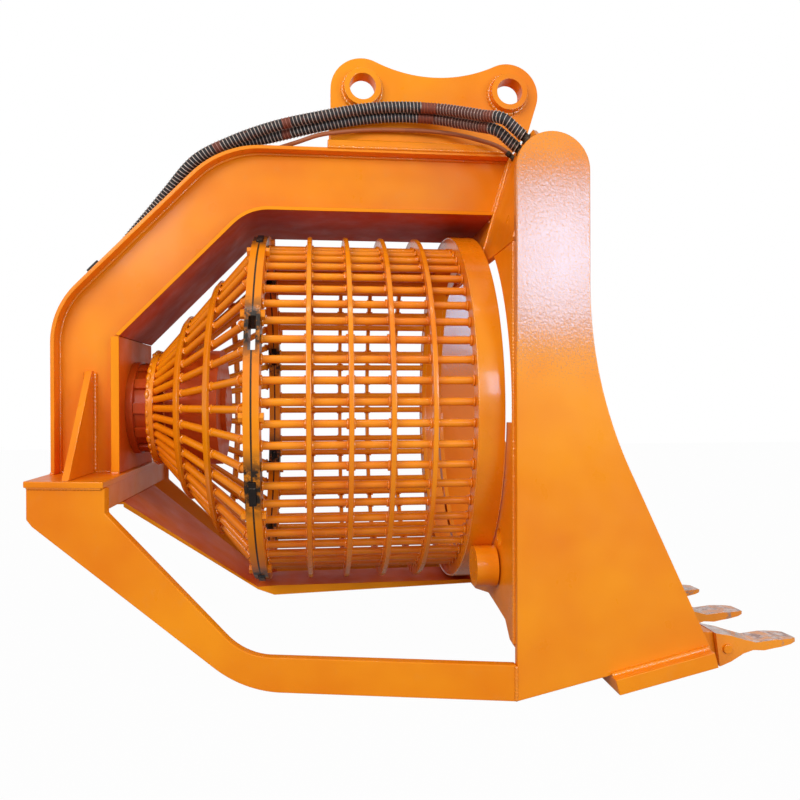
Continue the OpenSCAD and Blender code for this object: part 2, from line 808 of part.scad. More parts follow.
module under_beam() {
    full = 2 * drum_r;
    top = [[beam_rear_x - beam_tongue, beam_rear_z], [beam_rear_x, beam_rear_z],
           [beam_bend_x, beam_top_z], [0, beam_top_z]];
    low = [for (p = reversed(top)) p - [0, beam_t]];
    lip_low = [[0, beam_top_z - beam_t - beam_lip_front],
               [beam_knee_x, beam_top_z - beam_t - beam_lip_drop],
               [beam_bend_x, beam_top_z - beam_t],
               [beam_rear_x, beam_rear_z - 2 * beam_t]];
    color(orange_paint) at_pin() union() {
        intersection() {
            plate_xz(-full / 2, full) polygon(concat(top, low));
            beam_plan(0);
        }
        intersection() {
            plate_xz(-full / 2, full)
                polygon(concat([for (i = [1 : 3]) top[i] - [0, beam_t / 2]], lip_low));
            difference() {
                beam_plan(0);
                beam_plan(beam_lip_t);
            }
        }
    }
}

// Drive, fixed parts

module gearbox_flange() {
    color(orange_paint) at_pin() difference() {
        union() {
            shaft(mount_face_x, gear_flange_t, gear_flange_r);
            shaft(mount_face_x, gear_flange_t + block_h, block_hub_r);
            shaft(mount_face_x - mount_t, mount_t, gearbox_r - wrap_t);
        }
        shaft(mount_face_x + gear_flange_t, block_h + over, gearbox_r + gap);
        shaft(mount_face_x - mount_t - over, mount_t + gear_flange_t + 2 * over, spindle_r / 2);
    }
}

module bolt_blocks() {
    color(orange_paint) at_pin() for (i = [0 : block_count - 1])
        round_x(i * 360 / block_count)
            translate([mount_face_x + gear_flange_t, -block_w / 2, block_hub_r + gap])
                cube([block_h, block_w, block_rise - gap]);
}

module gearbox_housing() {
    start = mount_face_x + gear_flange_t;
    disc_x = cone_ring_x + lug_l + neck_l + can_l - can_disc_t;
    color(orange_paint) at_pin() union() {
        shaft(start, disc_x - can_disc_t / 2 - start, gearbox_r);
        shaft(start, disc_x + can_disc_t - gap - start, spindle_r);
    }
}

module hydraulic_motor() {
    motor_x = mount_face_x - mount_t - motor_l;
    collar_l = motor_l * motor_collar_share;
    box = [motor_l * motor_box_shares[0], motor_r * motor_box_shares[1],
           motor_r * motor_box_shares[2]];
    color(dark_steel) at_pin() union() {
        shaft(motor_x, motor_l, motor_r);
        shaft(mount_face_x - mount_t - collar_l, collar_l, gearbox_r - 2 * wrap_t);
        translate([motor_x, -box[1] / 2, 0]) cube(box);
    }
}

// Support rollers

module at_roller() {
    rotate([roller_angle, 0, 0]) translate([0, -roller_pitch_r, 0]) children();
}

module roller() {
    difference() {
        shaft(roller_back_x, roller_l, roller_r);
        shaft(roller_front_x - roller_bore_l, roller_bore_l + over, roller_axle_r + running,
              bore_fn);
        for (i = [0 : roller_hole_count - 1])
            rotate([i * 360 / roller_hole_count, 0, 0]) translate([0, 0, roller_hole_pitch_r])
                shaft(roller_back_x - over, roller_hole_depth + over, roller_hole_r, small_fn);
    }
}

module roller_near() {
    color(orange_paint) at_pin() at_roller() roller();
}

module roller_far() {
    color(orange_paint) at_pin() mirror([0, 1, 0]) at_roller() roller();
}

module roller_axles() {
    color(dark_steel) at_pin() both_sides() at_roller() union() {
        shaft(roller_front_x - roller_bore_l + gap, roller_bore_l - roller_front_x - gap,
              roller_axle_r, bore_fn);
        shaft(roller_front_x + gap, -roller_front_x - gap, roller_collar_r, bore_fn);
    }
}

// Drum

module drum_bars() {
    color(orange_paint) at_pin() for (i = [0 : bar_count - 1])
        round_x(first_bar_angle - i * 360 / bar_count) translate([0, 0, bar_pitch_r])
            shaft(flange_front_x, cage_l, bar_d / 2, small_fn);
}

module drum_hoops() {
    color(orange_paint) at_pin() for (i = [1 : hoop_count])
        ring(band_back_x - i * hoop_pitch - hoop_t / 2, hoop_t, drum_r, drum_r - hoop_depth);
}

module front_ring() {
    color(orange_paint) at_pin() difference() {
        shaft(band_back_x, band_w, band_r);
        shaft(band_back_x - over, band_w + 2 * over, bar_pitch_r - bar_d / 2);
        shaft(band_back_x + band_wall, band_w, band_r - band_wall);
    }
}

module splice_notch(x, l, w, low_r, high_r) {
    translate([x, -w / 2, low_r]) cube([l, w, high_r - low_r]);
}

module flange_ring(x, notch_x, notch_l) {
    difference() {
        ring(x, flange_t, drum_r, flange_inner_r);
        for (i = [0 : splice_count - 1])
            round_x(first_splice_angle - i * 360 / splice_count)
                splice_notch(notch_x, notch_l, i == splice_open_place
                                 ? splice_l * splice_open_share : splice_l + 2 * gap,
                             flange_inner_r - splice_inset, drum_r + over);
        for (i = [0 : flange_bolt_count - 1])
            round_x(first_bolt_angle + i * 360 / flange_bolt_count)
                translate([0, 0, bolt_pitch_r])
                    shaft(x - over, flange_t + 2 * over, flange_bolt_d / 2 + gap, small_fn);
    }
}

module flange_ring_front() {
    color(orange_paint) at_pin() flange_ring(split_x, split_x - over, splice_w / 2 + over);
}

module flange_ring_rear() {
    color(orange_paint) at_pin()
        flange_ring(flange_back_x, split_x - splice_w / 2, splice_w / 2 + over);
}

module hex_prism(x, l, af) {
    translate([x, 0, 0]) rotate([0, 90, 0]) cylinder(h = l, r = af / 2 / cos(30), $fn = 6);
}

module flange_bolts() {
    color(orange_paint) at_pin() for (i = [0 : flange_bolt_count - 1])
        round_x(first_bolt_angle + i * 360 / flange_bolt_count)
            translate([0, 0, bolt_pitch_r]) union() {
                shaft(flange_back_x - bolt_head_h, 2 * flange_t + 2 * bolt_head_h,
                      flange_bolt_d / 2, small_fn);
                hex_prism(flange_front_x, bolt_head_h, flange_bolt_af);
                hex_prism(flange_back_x - bolt_head_h, bolt_head_h, flange_bolt_af);
            }
}

module splice_blocks() {
    color(dark_steel) at_pin() for (i = [0 : splice_count - 1]) if (i != splice_open_place)
        round_x(first_splice_angle - i * 360 / splice_count)
            splice_notch(split_x - splice_w / 2 + gap, splice_w - 2 * gap, splice_l,
                         flange_inner_r + splice_inset, drum_r + splice_rise);
}

module cone_bars() {
    l = cone_l / cos(cone_slope);
    color(orange_paint) at_pin() for (i = [0 : cone_bar_count - 1])
        round_x(i * 360 / cone_bar_count) intersection() {
            translate([cone_ring_x, 0, cone_end_axis_r]) rotate([0, 90 - cone_slope, 0])
                translate([0, 0, -2 * bar_d])
                    cylinder(h = l + 4 * bar_d, r = bar_d / 2, $fn = small_fn);
            translate([cone_ring_x, -bar_d, 0]) cube([cone_l, 2 * bar_d, drum_r]);
        }
}

module cone_hoop(share) {
    x = flange_back_x - share * cone_l;
    axis_r = cone_front_axis_r - share * (cone_front_axis_r - cone_end_axis_r);
    along = [sin(cone_slope), cos(cone_slope)];
    square_to = [cos(cone_slope), -sin(cone_slope)];
    middle = [axis_r, x] + square_to * cone_hoop_seat;
    half = along * cone_hoop_w / 2;
    out = square_to * cone_hoop_t;
    color(orange_paint) at_pin() rotate([0, 90, 0]) rotate_extrude()
        polygon([middle - half, middle + half, middle + half + out, middle - half + out]);
}

module cone_hoop_front() {
    cone_hoop(cone_hoop_shares[0]);
}

module cone_hoop_rear() {
    cone_hoop(cone_hoop_shares[1]);
}

module cone_end_ring() {
    color(orange_paint) at_pin()
        ring(cone_ring_x - cone_end_t, cone_end_t, cone_end_r, cone_end_bore_r);
}

module drive_can() {
    neck_x = cone_ring_x + lug_l;
    can_x = neck_x + neck_l;
    hollow = neck_l + can_l - can_disc_t;
    color(orange_paint) at_pin() difference() {
        union() {
            shaft(neck_x, neck_l, neck_r);
            shaft(can_x, can_l, can_r);
        }
        shaft(neck_x - over, hollow + over, neck_r - neck_wall);
        shaft(neck_x, neck_l + can_l + over, spindle_r + running);
    }
}

module drive_lugs() {
    low_r = cone_end_bore_r + lug_inset;
    lug_w = lug_l * lug_w_share;
    color(orange_paint) at_pin() for (i = [0 : lug_count - 1])
        round_x(i * 360 / lug_count)
            translate([cone_ring_x, -lug_w / 2, low_r]) cube([lug_l, lug_w, lug_depth]);
}

module drive_cap() {
    cap_x = cone_ring_x + lug_l + neck_l + can_l;
    cap_t = can_disc_t / 2;
    color(orange_paint) at_pin() difference() {
        shaft(cap_x, cap_t, can_r / 2);
        for (i = [0 : flange_bolt_count / 2 - 1])
            rotate([i * 720 / flange_bolt_count, 0, 0]) translate([0, 0, can_r / 2 - cap_t])
                shaft(cap_x + cap_t / 2, cap_t, flange_bolt_d / 2, small_fn);
    }
}

// Hydraulic lines: a tube is swept along a smooth curve through its route's points

function seg(p, i) = norm(p[i + 1] - p[i]);
function slope_at(p, i) = let (n = len(p) - 1)
    i == 0 ? (p[1] - p[0]) / seg(p, 0) : i == n ? (p[n] - p[n - 1]) / seg(p, n - 1)
    : let (a = seg(p, i - 1), b = seg(p, i))
      ((p[i + 1] - p[i]) / b * a + (p[i] - p[i - 1]) / a * b) / (a + b);
function curve(p, i, u) = (2 * pow(u, 3) - 3 * u * u + 1) * p[i]
    + (pow(u, 3) - 2 * u * u + u) * seg(p, i) * slope_at(p, i)
    + (3 * u * u - 2 * pow(u, 3)) * p[i + 1]
    + (pow(u, 3) - u * u) * seg(p, i) * slope_at(p, i + 1);
function run_to(p, i) = i == 0 ? 0 : run_to(p, i - 1) + seg(p, i - 1);
function place(p, s, i = 0) = i == len(p) - 2 || s <= seg(p, i)
    ? curve(p, i, min(1, s / seg(p, i))) : place(p, s - seg(p, i), i + 1);
function route_rings(p, n) = let (l = run_to(p, len(p) - 1)) [for (j = [0 : n]) place(p, l * j / n)];
function heading(q, j) = unit(q[min(j + 1, len(q) - 1)] - q[max(j - 1, 0)]);
function ring_points(q, j, r) = let (t = heading(q, j), u = unit(cross(t, [0, 1, 0])),
                                     v = cross(t, u))
    [for (k = [0 : hose_sides - 1]) q[j] + r * (cos(k * 360 / hose_sides) * u
                                              + sin(k * 360 / hose_sides) * v)];
function band_faces(start, j, k, flip) =
    let (a = start + j * hose_sides + k, b = start + j * hose_sides + (k + 1) % hose_sides)
    flip ? [[a, a + hose_sides, b], [b, a + hose_sides, b + hose_sides]]
         : [[a, b, a + hose_sides], [b, b + hose_sides, a + hose_sides]];
function all_faces(start, n, flip) = [for (j = [0 : n - 1], k = [0 : hose_sides - 1])
    each band_faces(start, j, k, flip)];
function end_faces(a, b, flip) = [for (k = [0 : hose_sides - 1]) let (m = (k + 1) % hose_sides)
    each flip ? [[a + k, b + k, a + m], [a + m, b + k, b + m]]
              : [[a + k, a + m, b + k], [a + m, b + m, b + k]]];

module ribbed_hose(route) {
    n = 2 * hose_rib_count;
    q = route_rings(route, n);
    b = route_rings(route, bore_rings);
    outer = [for (j = [0 : n]) each ring_points(q, j, hose_r - (j % 2 == 0 ? hose_groove : 0))];
    inner = [for (j = [0 : bore_rings]) each ring_points(b, j, hose_bore_r)];
    first = len(outer);
    last_outer = n * hose_sides;
    last_inner = first + bore_rings * hose_sides;
    polyhedron(concat(outer, inner),
               concat(all_faces(0, n, false), all_faces(first, bore_rings, true),
                      end_faces(0, first, true), end_faces(last_outer, last_inner, false)));
}

module plain_line(route, r, n) {
    q = route_rings(route, n);
    points = [for (j = [0 : n]) each ring_points(q, j, r)];
    last = n * hose_sides;
    polyhedron(points, concat(all_faces(0, n, false),
        [for (k = [1 : hose_sides - 2]) [0, k + 1, k]],
        [for (k = [1 : hose_sides - 2]) [last, last + k, last + k + 1]]));
}

module hose_upper() {
    color(rubber_black) at_pin() ribbed_hose(hose_upper_route);
}

module hose_lower() {
    color(rubber_black) at_pin() ribbed_hose(hose_lower_route);
}

module drain_line() {
    color(line_brown) at_pin() plain_line(drain_route, drain_r, drain_rings);
}

module hose_unions() {
    ends = [[hose_upper_route, union_r], [hose_lower_route, union_r], [drain_route, drain_union_r]];
    color(dark_steel) at_pin() difference() {
        for (e = ends)
            translate(e[0][0]) rotate([0, 90 + union_slope, 0])
                translate([0, 0, gap]) cylinder(h = 3 * union_r, r = e[1], $fn = small_fn);
        translate([0, -mouth_w / 2, lean_z]) rotate([0, lean, 0])
            cube([mouth_w, mouth_w, mouth_w]);
    }
}

module port_block() {
    end = hose_upper_route[len(hose_upper_route) - 1];
    wrap_z = rear_corner_z + (end[0] - frame_rear_x) * tan(diagonal_slope);
    seat = (end[2] - wrap_z) * cos(diagonal_slope);
    color(dark_steel) at_pin() translate([end[0], 0, end[2]]) rotate([0, -diagonal_slope, 0])
        translate([-block_l - gap, port_block_inset - wrap_half_w - port_block_half_w, -seat])
            cube([block_l, 2 * port_block_half_w, port_block_h]);
}

web_near();
web_far();
outer_wrap();
inner_wrap();
motor_mount_plate();
ear_base_plate();
ear_near();
ear_far();
pin_bosses();
side_plate_near();
side_plate_far();
mouth_back_plate();
mouth_top_plate();
mouth_floor();
cutting_lip();
tooth_adapters();
teeth();
tooth_pins();
skid_leg_near();
skid_leg_far();
base_shelf();
gusset_ribs();
rear_cross_beam();
under_beam();
gearbox_flange();
bolt_blocks();
gearbox_housing();
hydraulic_motor();
roller_axles();
hose_unions();
port_block();
hose_upper();
hose_lower();
drain_line();
roller_near();
roller_far();
drum_bars();
drum_hoops();
front_ring();
flange_ring_front();
flange_ring_rear();
flange_bolts();
splice_blocks();
cone_bars();
cone_hoop_front();
cone_hoop_rear();
cone_end_ring();
drive_can();
drive_lugs();
drive_cap();
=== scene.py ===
# %% [markdown]
# # A rotary screening bucket for an excavator
# A barred drum turns in a C-shaped box frame behind a toothed scoop. The solids of every plate,
# bar and ring come from the CAD frame. This script dresses them: it rounds their edges, lays the
# weld beads, winds the hose guards, and gives each surface its paint, rubber or bare steel.

# %% Frame and its bodies
import json
import bmesh
import bpy
import numpy as np
from mathutils import Matrix

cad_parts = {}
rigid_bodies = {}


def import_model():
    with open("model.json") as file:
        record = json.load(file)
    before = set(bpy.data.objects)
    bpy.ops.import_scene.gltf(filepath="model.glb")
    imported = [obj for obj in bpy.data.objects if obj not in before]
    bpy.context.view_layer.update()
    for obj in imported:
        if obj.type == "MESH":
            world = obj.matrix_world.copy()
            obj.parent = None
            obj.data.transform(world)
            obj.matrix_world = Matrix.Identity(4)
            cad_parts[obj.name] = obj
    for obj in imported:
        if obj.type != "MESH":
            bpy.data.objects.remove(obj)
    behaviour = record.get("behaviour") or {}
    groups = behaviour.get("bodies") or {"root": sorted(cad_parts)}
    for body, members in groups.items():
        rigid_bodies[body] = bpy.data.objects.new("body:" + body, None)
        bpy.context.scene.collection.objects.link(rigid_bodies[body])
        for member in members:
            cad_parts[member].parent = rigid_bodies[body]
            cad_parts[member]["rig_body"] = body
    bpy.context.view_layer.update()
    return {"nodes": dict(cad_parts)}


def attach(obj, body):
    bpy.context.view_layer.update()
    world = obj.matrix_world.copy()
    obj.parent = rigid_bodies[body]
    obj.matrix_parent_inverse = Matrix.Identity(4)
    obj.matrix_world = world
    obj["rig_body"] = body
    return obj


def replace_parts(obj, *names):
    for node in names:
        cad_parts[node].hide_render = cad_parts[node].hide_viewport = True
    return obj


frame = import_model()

# %% [markdown]
# The source measures the bucket in millimetres from the drum's axis, at the rear face of the
# mouth plate. The frame here counts metres from the arm pin. One function converts between them,
# so every number below can be read against the source.

# %% Two frames of reference
PIN = np.array([0.100, 0.0, 1.000])
BAR_R, BAR_PITCH_R, BAR_COUNT, FIRST_BAR_ANGLE = 11.0, 518.7, 56, 66.5
BAND_BACK, FLANGE_FRONT, FLANGE_BACK = -80.0, -659.0, -701.0
CONE_END, CONE_FRONT_R, CONE_END_R, CONE_BAR_COUNT = -1009.0, 514.0, 164.0, 40
CONE_HOOP_SHARES = (0.338, 0.669)
HOOPS = [-192.75, -305.5, -418.25, -531.0]
TOP_Z, LEAN_Z, REAR_X, CORNER_Z, BOX_DEPTH = 806, 438, -1297, 299, 198
WRAP_HALF, WEB_FACE, SHELF_TOP, LIP_HEEL_Z = 212, 167, -193, -752
GROUND_Z = LIP_HEEL_Z / 1000 - PIN[2]


def from_drum(points):
    """Millimetres in the drum's frame become metres from the pin: divide, then subtract its place."""
    return np.asarray(points, float) / 1000 - PIN


def round_axis(x, radius, angle):
    """A point beside the drum's axis: angle 0 faces the near side, 90 is up, in degrees."""
    a = np.radians(angle)
    x, radius, a = np.broadcast_arrays(np.asarray(x, float), radius, a)
    return np.stack([x, -radius * np.cos(a), radius * np.sin(a)], -1)


print("ground at", round(GROUND_Z, 3))

# %% [markdown]
# The camera stands beside the drum, a little below mid height, and looks almost straight across.
# Its place and its turn are written as numbers, and the lens gives the width of the picture: a
# 36 mm wide sensor behind a 32.4 mm lens sees 721 of 800 picture widths at unit distance.

# %% Camera
def look(place, yaw, pitch, roll):
    """World matrix of a camera: yaw turns its sight from +Y towards +X, pitch lowers it, roll tips it."""
    yaw, pitch, roll = np.radians([yaw, pitch, roll])
    sight = np.array([np.sin(yaw) * np.cos(pitch), np.cos(yaw) * np.cos(pitch), -np.sin(pitch)])
    side = np.array([np.cos(yaw), -np.sin(yaw), 0.0])
    lift = np.cross(side, sight)
    right = side * np.cos(roll) + lift * np.sin(roll)
    up = lift * np.cos(roll) - side * np.sin(roll)
    m = np.eye(4)
    m[:3, 0], m[:3, 1], m[:3, 2], m[:3, 3] = right, up, -sight, place
    return Matrix(m.tolist())


camera = bpy.data.objects.new("camera", bpy.data.cameras.new("camera"))
bpy.context.scene.collection.objects.link(camera)
camera.data.sensor_width = 36.0
camera.data.lens = 36.0 * 721 / 800
camera.data.clip_end = 60.0
camera.matrix_world = look((-0.605, -2.454, -0.966), 6.44, 0.27, -0.16)
bpy.context.scene.camera = camera
print("lens", round(camera.data.lens, 2))

# %% [markdown]
# Materials are node graphs. A tiny helper adds a node, fills its sockets and wires other nodes
# into them, so that each finish below reads as a short list.

# %% Node helper
def new_material(name):
    """An empty material with its tree: returns the material, the tree and its Principled shader."""
    mat = bpy.data.materials.new(name)
    mat.use_nodes = True
    tree = mat.node_tree
    return mat, tree, tree.nodes["Principled BSDF"]


def add(tree, kind, inputs=None, **settings):
    """Adds one node; inputs maps a socket to a value, or to another node's output."""
    made = tree.nodes.new("ShaderNode" + kind)
    for key, value in settings.items():
        setattr(made, key, value)
    for key, value in (inputs or {}).items():
        if isinstance(value, bpy.types.NodeSocket):
            tree.links.new(value, made.inputs[key])
        else:
            made.inputs[key].default_value = value
    return made


def linear(*srgb):
    """An sRGB colour in 0 to 255 as linear light, with alpha 1."""
    c = np.array(srgb) / 255
    return tuple(np.where(c <= 0.04045, c / 12.92, ((c + 0.055) / 1.055) ** 2.4)) + (1.0,)


def calc(tree, operation, *values):
    """One arithmetic node over one, two or three values."""
    return add(tree, "Math", dict(enumerate(values)), operation=operation).outputs[0]


def part_of(tree, vector, axis):
    """One of a vector's three parts: X, Y or Z."""
    return add(tree, "SeparateXYZ", {"Vector": vector}).outputs[axis]


def here(tree):
    """The place on the piece, in metres from the pin."""
    return add(tree, "TexCoord").outputs["Object"]


def facing(tree):
    """The surface's normal, in the piece's own axes."""
    return add(tree, "TexCoord").outputs["Normal"]


def grain(tree, scale, detail=4.0, rough=0.55):
    """Cloudy noise between 0 and 1, with that many grains a metre."""
    return add(tree, "TexNoise", {"Vector": here(tree), "Scale": scale, "Detail": detail,
                                  "Roughness": rough}).outputs["Fac"]


def ramp(tree, value, low, high, to_low=0.0, to_high=1.0):
    """Stretches the stretch low to high of a value over to_low to to_high, and clamps it."""
    return add(tree, "MapRange", {"Value": value, "From Min": low, "From Max": high,
                                  "To Min": to_low, "To Max": to_high}).outputs["Result"]


def mixed(tree, factor, a, b):
    """Colour a where the factor is 0 and colour b where it is 1."""
    made = add(tree, "Mix", data_type="RGBA")
    for index, value in ((0, factor), (6, a), (7, b)):
        if isinstance(value, bpy.types.NodeSocket):
            tree.links.new(value, made.inputs[index])
        else:
            made.inputs[index].default_value = value
    return made.outputs[2]


def bumped(tree, shader, *layers):
    """Stacks (height, strength, distance) layers of bump on a shader's normal."""
    normal = None
    for height, strength, distance in layers:
        made = add(tree, "Bump", {"Height": height, "Strength": strength, "Distance": distance})
        if normal:
            tree.links.new(normal, made.inputs["Normal"])
        normal = made.outputs["Normal"]
    tree.links.new(normal, shader.inputs["Normal"])


print("node helpers ready")

# %% [markdown]
# The paint is a glossy orange sprayed by hand over rolled plate. It is nowhere quite even: the
# tone drifts from plate to plate, the film has the fine dimples that painters call orange peel,
# and a thin dust dulls it in patches. Three noises at three scales give these three things.
# The upper side plates got a last clear coat from too far away: it lies in glossy specks, close
# together at mid height and thinning out towards both ends. In the specks the base colour turns
# a duller, pinker orange: painted sheen, standing for the reflection that lies on that band.
# Inside the box frame the paint is matt, darker and redder: painted shade. The plates' cut edges,
# which face sideways, keep the outside's orange: a painted lit side.

# %% Orange paint
ORANGE, ORANGE_DEEP = linear(247, 145, 14), linear(234, 122, 8)
# In the colours below, the second darkens the soot, and also the flange joint, where it is painted shade.
# In the colours below, the third is a duller, pinker orange: painted sheen in the specks of clear coat.
DUST, SOOT_AND_JOINT_SHADE, PAINTED_SHEEN = linear(220, 160, 96), linear(44, 33, 25), linear(206, 126, 72)
COAT_AND_SHEEN_LOW_Z, COAT_AND_SHEEN_TOP_Z = (-1.0, -0.76), (-0.42, -0.32)


def orange_paint(name, light=ORANGE, deep=ORANGE_DEEP, peel=0.1, dust=0.05, gloss=(0.26, 0.44), coat=0.15):
    """Glossy orange: two tones mixed by a slow noise, dust by a middle one, dimples by a fine one."""
    mat, tree, shader = new_material(name)
    tone = ramp(tree, grain(tree, 2.6, 3.0), 0.35, 0.65)
    colour = mixed(tree, tone, light, deep)
    film = ramp(tree, grain(tree, 26.0, 6.0, 0.65), 0.56, 0.8, 0.0, dust * 2)
    colour = mixed(tree, film, colour, DUST)
    tree.links.new(colour, shader.inputs["Base Color"])
    tree.links.new(ramp(tree, grain(tree, 14.0, 5.0), 0.3, 0.7, *gloss), shader.inputs["Roughness"])
    shader.inputs["Specular IOR Level"].default_value = 0.2
    shader.inputs["Coat Weight"].default_value = coat
    shader.inputs["Coat Roughness"].default_value = 0.1
    bumped(tree, shader, (grain(tree, 9.0, 2.0), 0.25, 0.004), (grain(tree, 240.0, 1.0), peel, 0.0015))
    return mat, tree, shader, colour


def peeled_paint_and_sheen():
    """Clear coat in specks, whose base colour is painted sheen: a fine noise, plus a band that ends low down
    and at the top.
    """
    mat, tree, shader, colour = orange_paint("orange_paint_peel_and_painted_sheen", dust=0.02)
    height = part_of(tree, here(tree), "Z")
    low, top = ramp(tree, height, *COAT_AND_SHEEN_LOW_Z), ramp(tree, height, *COAT_AND_SHEEN_TOP_Z, 1.0, 0.5)
    coat_and_sheen_band = calc(tree, "MULTIPLY", low, top)
    speck = calc(tree, "MULTIPLY_ADD", coat_and_sheen_band, 0.34, grain(tree, 200.0, 3.0, 0.8))
    speck_coat_and_sheen = ramp(tree, speck, 0.66, 0.84)
    # The specks turn the base colour a duller, pinker orange: painted sheen for the reflection on that band.
    # Their coat weight is real gloss.
    tree.links.new(mixed(tree, speck_coat_and_sheen, colour, PAINTED_SHEEN), shader.inputs["Base Color"])
    tree.links.new(ramp(tree, speck_coat_and_sheen, 0, 1, 0.3, 1.0), shader.inputs["Coat Weight"])
    dimples = calc(tree, "MULTIPLY", grain(tree, 150.0, 3.0, 0.6), coat_and_sheen_band)
    fine = add(tree, "Bump", {"Height": dimples, "Strength": 1.0, "Distance": 0.0005})
    tree.links.new(fine.outputs["Normal"], shader.inputs["Normal"])
    tree.links.new(fine.outputs["Normal"], shader.inputs["Coat Normal"])
    shader.inputs["Coat Roughness"].default_value = 0.05
    return mat


# The redder colours below are painted shade inside the box frame; the gearbox's paint uses them too.
RED, RED_DEEP = linear(214, 88, 16), linear(184, 62, 12)


def painted_shade_paint(name, light=RED, deep=RED_DEEP):
    """Redder, darker paint as painted shade, and the outside's orange as a painted lit side where the face
    looks sideways: |normal y| above 0.8.
    """
    mat, tree, shader, colour = orange_paint(name, light, deep, gloss=(0.4, 0.6), coat=0.0)
    shader.inputs["Specular IOR Level"].default_value = 0.12
    # Sideways faces get the outside's orange back: a painted lit side, where the cut edges face the light.
    side = ramp(tree, calc(tree, "ABSOLUTE", part_of(tree, facing(tree), "Y")), 0.6, 0.8)
    tree.links.new(mixed(tree, side, colour, ORANGE), shader.inputs["Base Color"])
    return mat


PAINT, PAINT_PLATE = orange_paint("orange_paint")[0], peeled_paint_and_sheen()
# Both are darker, redder copies of the orange: painted shade for the faces inside and under the box frame.
PAINT_INSIDE_SHADE = painted_shade_paint("orange_paint_inside_painted_shade")
PAINT_SHADE = painted_shade_paint("orange_paint_shaded", linear(240, 118, 22), linear(212, 88, 14))
PAINT_BAR = orange_paint("orange_paint_bars", dust=0.03, gloss=(0.22, 0.36), coat=0.35)[0]
PAINT_WELD = orange_paint("orange_paint_welds", peel=0.4, dust=0.0, gloss=(0.15, 0.3), coat=1.0)[0]
PAINT_RED = orange_paint("orange_paint_gearbox", RED, RED_DEEP, gloss=(0.3, 0.5), coat=0.1)[0]
print("paint:", [m.name for m in bpy.data.materials if m.name.startswith("orange")])

# %% [markdown]
# Two finishes start from the same paint and lose some of it. The flange rims were torch-cut and
# welded after painting, so soot lies round each splice block, eight times round the rim. The
# narrow joint between the two rims is painted dark all round: painted shade, for a gap there. The
# teeth are new: the paint is worn down to grey only in a few patches on the blades, and rubbed
# brown on their tops, with pale glints there that are painted highlights.

# %% Scorched rims, painted joint shade, worn teeth and painted glints
# The second colour below is pale: painted highlights, the glints on the teeth's tops.
RUBBED, PAINTED_GLINT = linear(150, 74, 38), linear(232, 200, 188)
BLOCK_STEP, BLOCK_OFF, JOINT_X, WORN_X = np.pi / 4, np.radians(21.5), -0.78, 0.685


def mixed_into(tree, shader, colour, factor, other):
    """Lays another colour over a finish where the factor is 1."""
    tree.links.new(mixed(tree, factor, colour, other), shader.inputs["Base Color"])


def scorched_paint_joint_shade():
    """Soot near the splice blocks: the angle round the axis, folded into 45 degree steps, is small.

    The joint is painted dark, as painted shade for a gap, where |x - joint| is under two millimetres."""
    mat, tree, shader, colour = orange_paint("scorched_paint_joint_shade")
    height = calc(tree, "ADD", part_of(tree, here(tree), "Z"), float(PIN[2]))
    angle = calc(tree, "ARCTAN2", height, part_of(tree, here(tree), "Y"))
    folded = calc(tree, "WRAP", angle, BLOCK_STEP, 0.0)
    away = calc(tree, "ABSOLUTE", calc(tree, "SUBTRACT", folded, BLOCK_OFF))
    near = ramp(tree, away, 0.08, 0.2, 1.0, 0.0)
    soot = calc(tree, "MULTIPLY", near, ramp(tree, grain(tree, 30.0, 5.0, 0.7), 0.3, 0.52))
    # A dark band where the two rims meet: painted shade, standing for the shadow in a gap between them.
    beside = calc(tree, "SUBTRACT", part_of(tree, here(tree), "X"), JOINT_X)
    joint = ramp(tree, calc(tree, "ABSOLUTE", beside), 0.0018, 0.0032, 1.0, 0.0)
    dark = calc(tree, "MAXIMUM", soot, joint)
    mixed_into(tree, shader, colour, dark, SOOT_AND_JOINT_SHADE)
    return mat


def tooth_paint():
    """Worn grey patches where a hump in x plus a noise is high, and worn brown tops, with pale painted
    highlights, where normal z is.
    """
    mat, tree, shader, colour = orange_paint("worn_tooth_paint_painted_glints", gloss=(0.2, 0.35), coat=1.0)
    off = calc(tree, "SUBTRACT", part_of(tree, here(tree), "X"), WORN_X)
    hump = ramp(tree, calc(tree, "ABSOLUTE", off), 0.0, 0.06, 0.12, 0.0)
    edge = calc(tree, "ADD", hump, grain(tree, 22.0, 6.0, 0.7))
    bare = ramp(tree, edge, 0.64, 0.74)
    steel = mixed(tree, grain(tree, 45.0, 6.0), linear(176, 146, 130), linear(122, 92, 80))
    top = ramp(tree, part_of(tree, facing(tree), "Z"), 0.3, 0.6)
    rubbed = calc(tree, "MULTIPLY", top, ramp(tree, grain(tree, 34.0), 0.42, 0.56))
    # The pale mix over the rubbed brown is painted highlight.
    rubbed_and_glints = mixed(tree, ramp(tree, grain(tree, 60.0, 5.0), 0.42, 0.6), RUBBED, PAINTED_GLINT)
    mixed_into(tree, shader, mixed(tree, rubbed, colour, rubbed_and_glints), bare, steel)
    return mat


SCORCHED_AND_JOINT_SHADE, TOOTH_PAINT = scorched_paint_joint_shade(), tooth_paint()
print("worn finishes:", SCORCHED_AND_JOINT_SHADE.name, TOOTH_PAINT.name)

# %% [markdown]
# What isn't painted is dark. The splice blocks are raw plate, black with mill scale and scratched
# bright. The hose guard is a springy wire over black rubber, browned by paint drift in places. The
# fittings are plated steel.

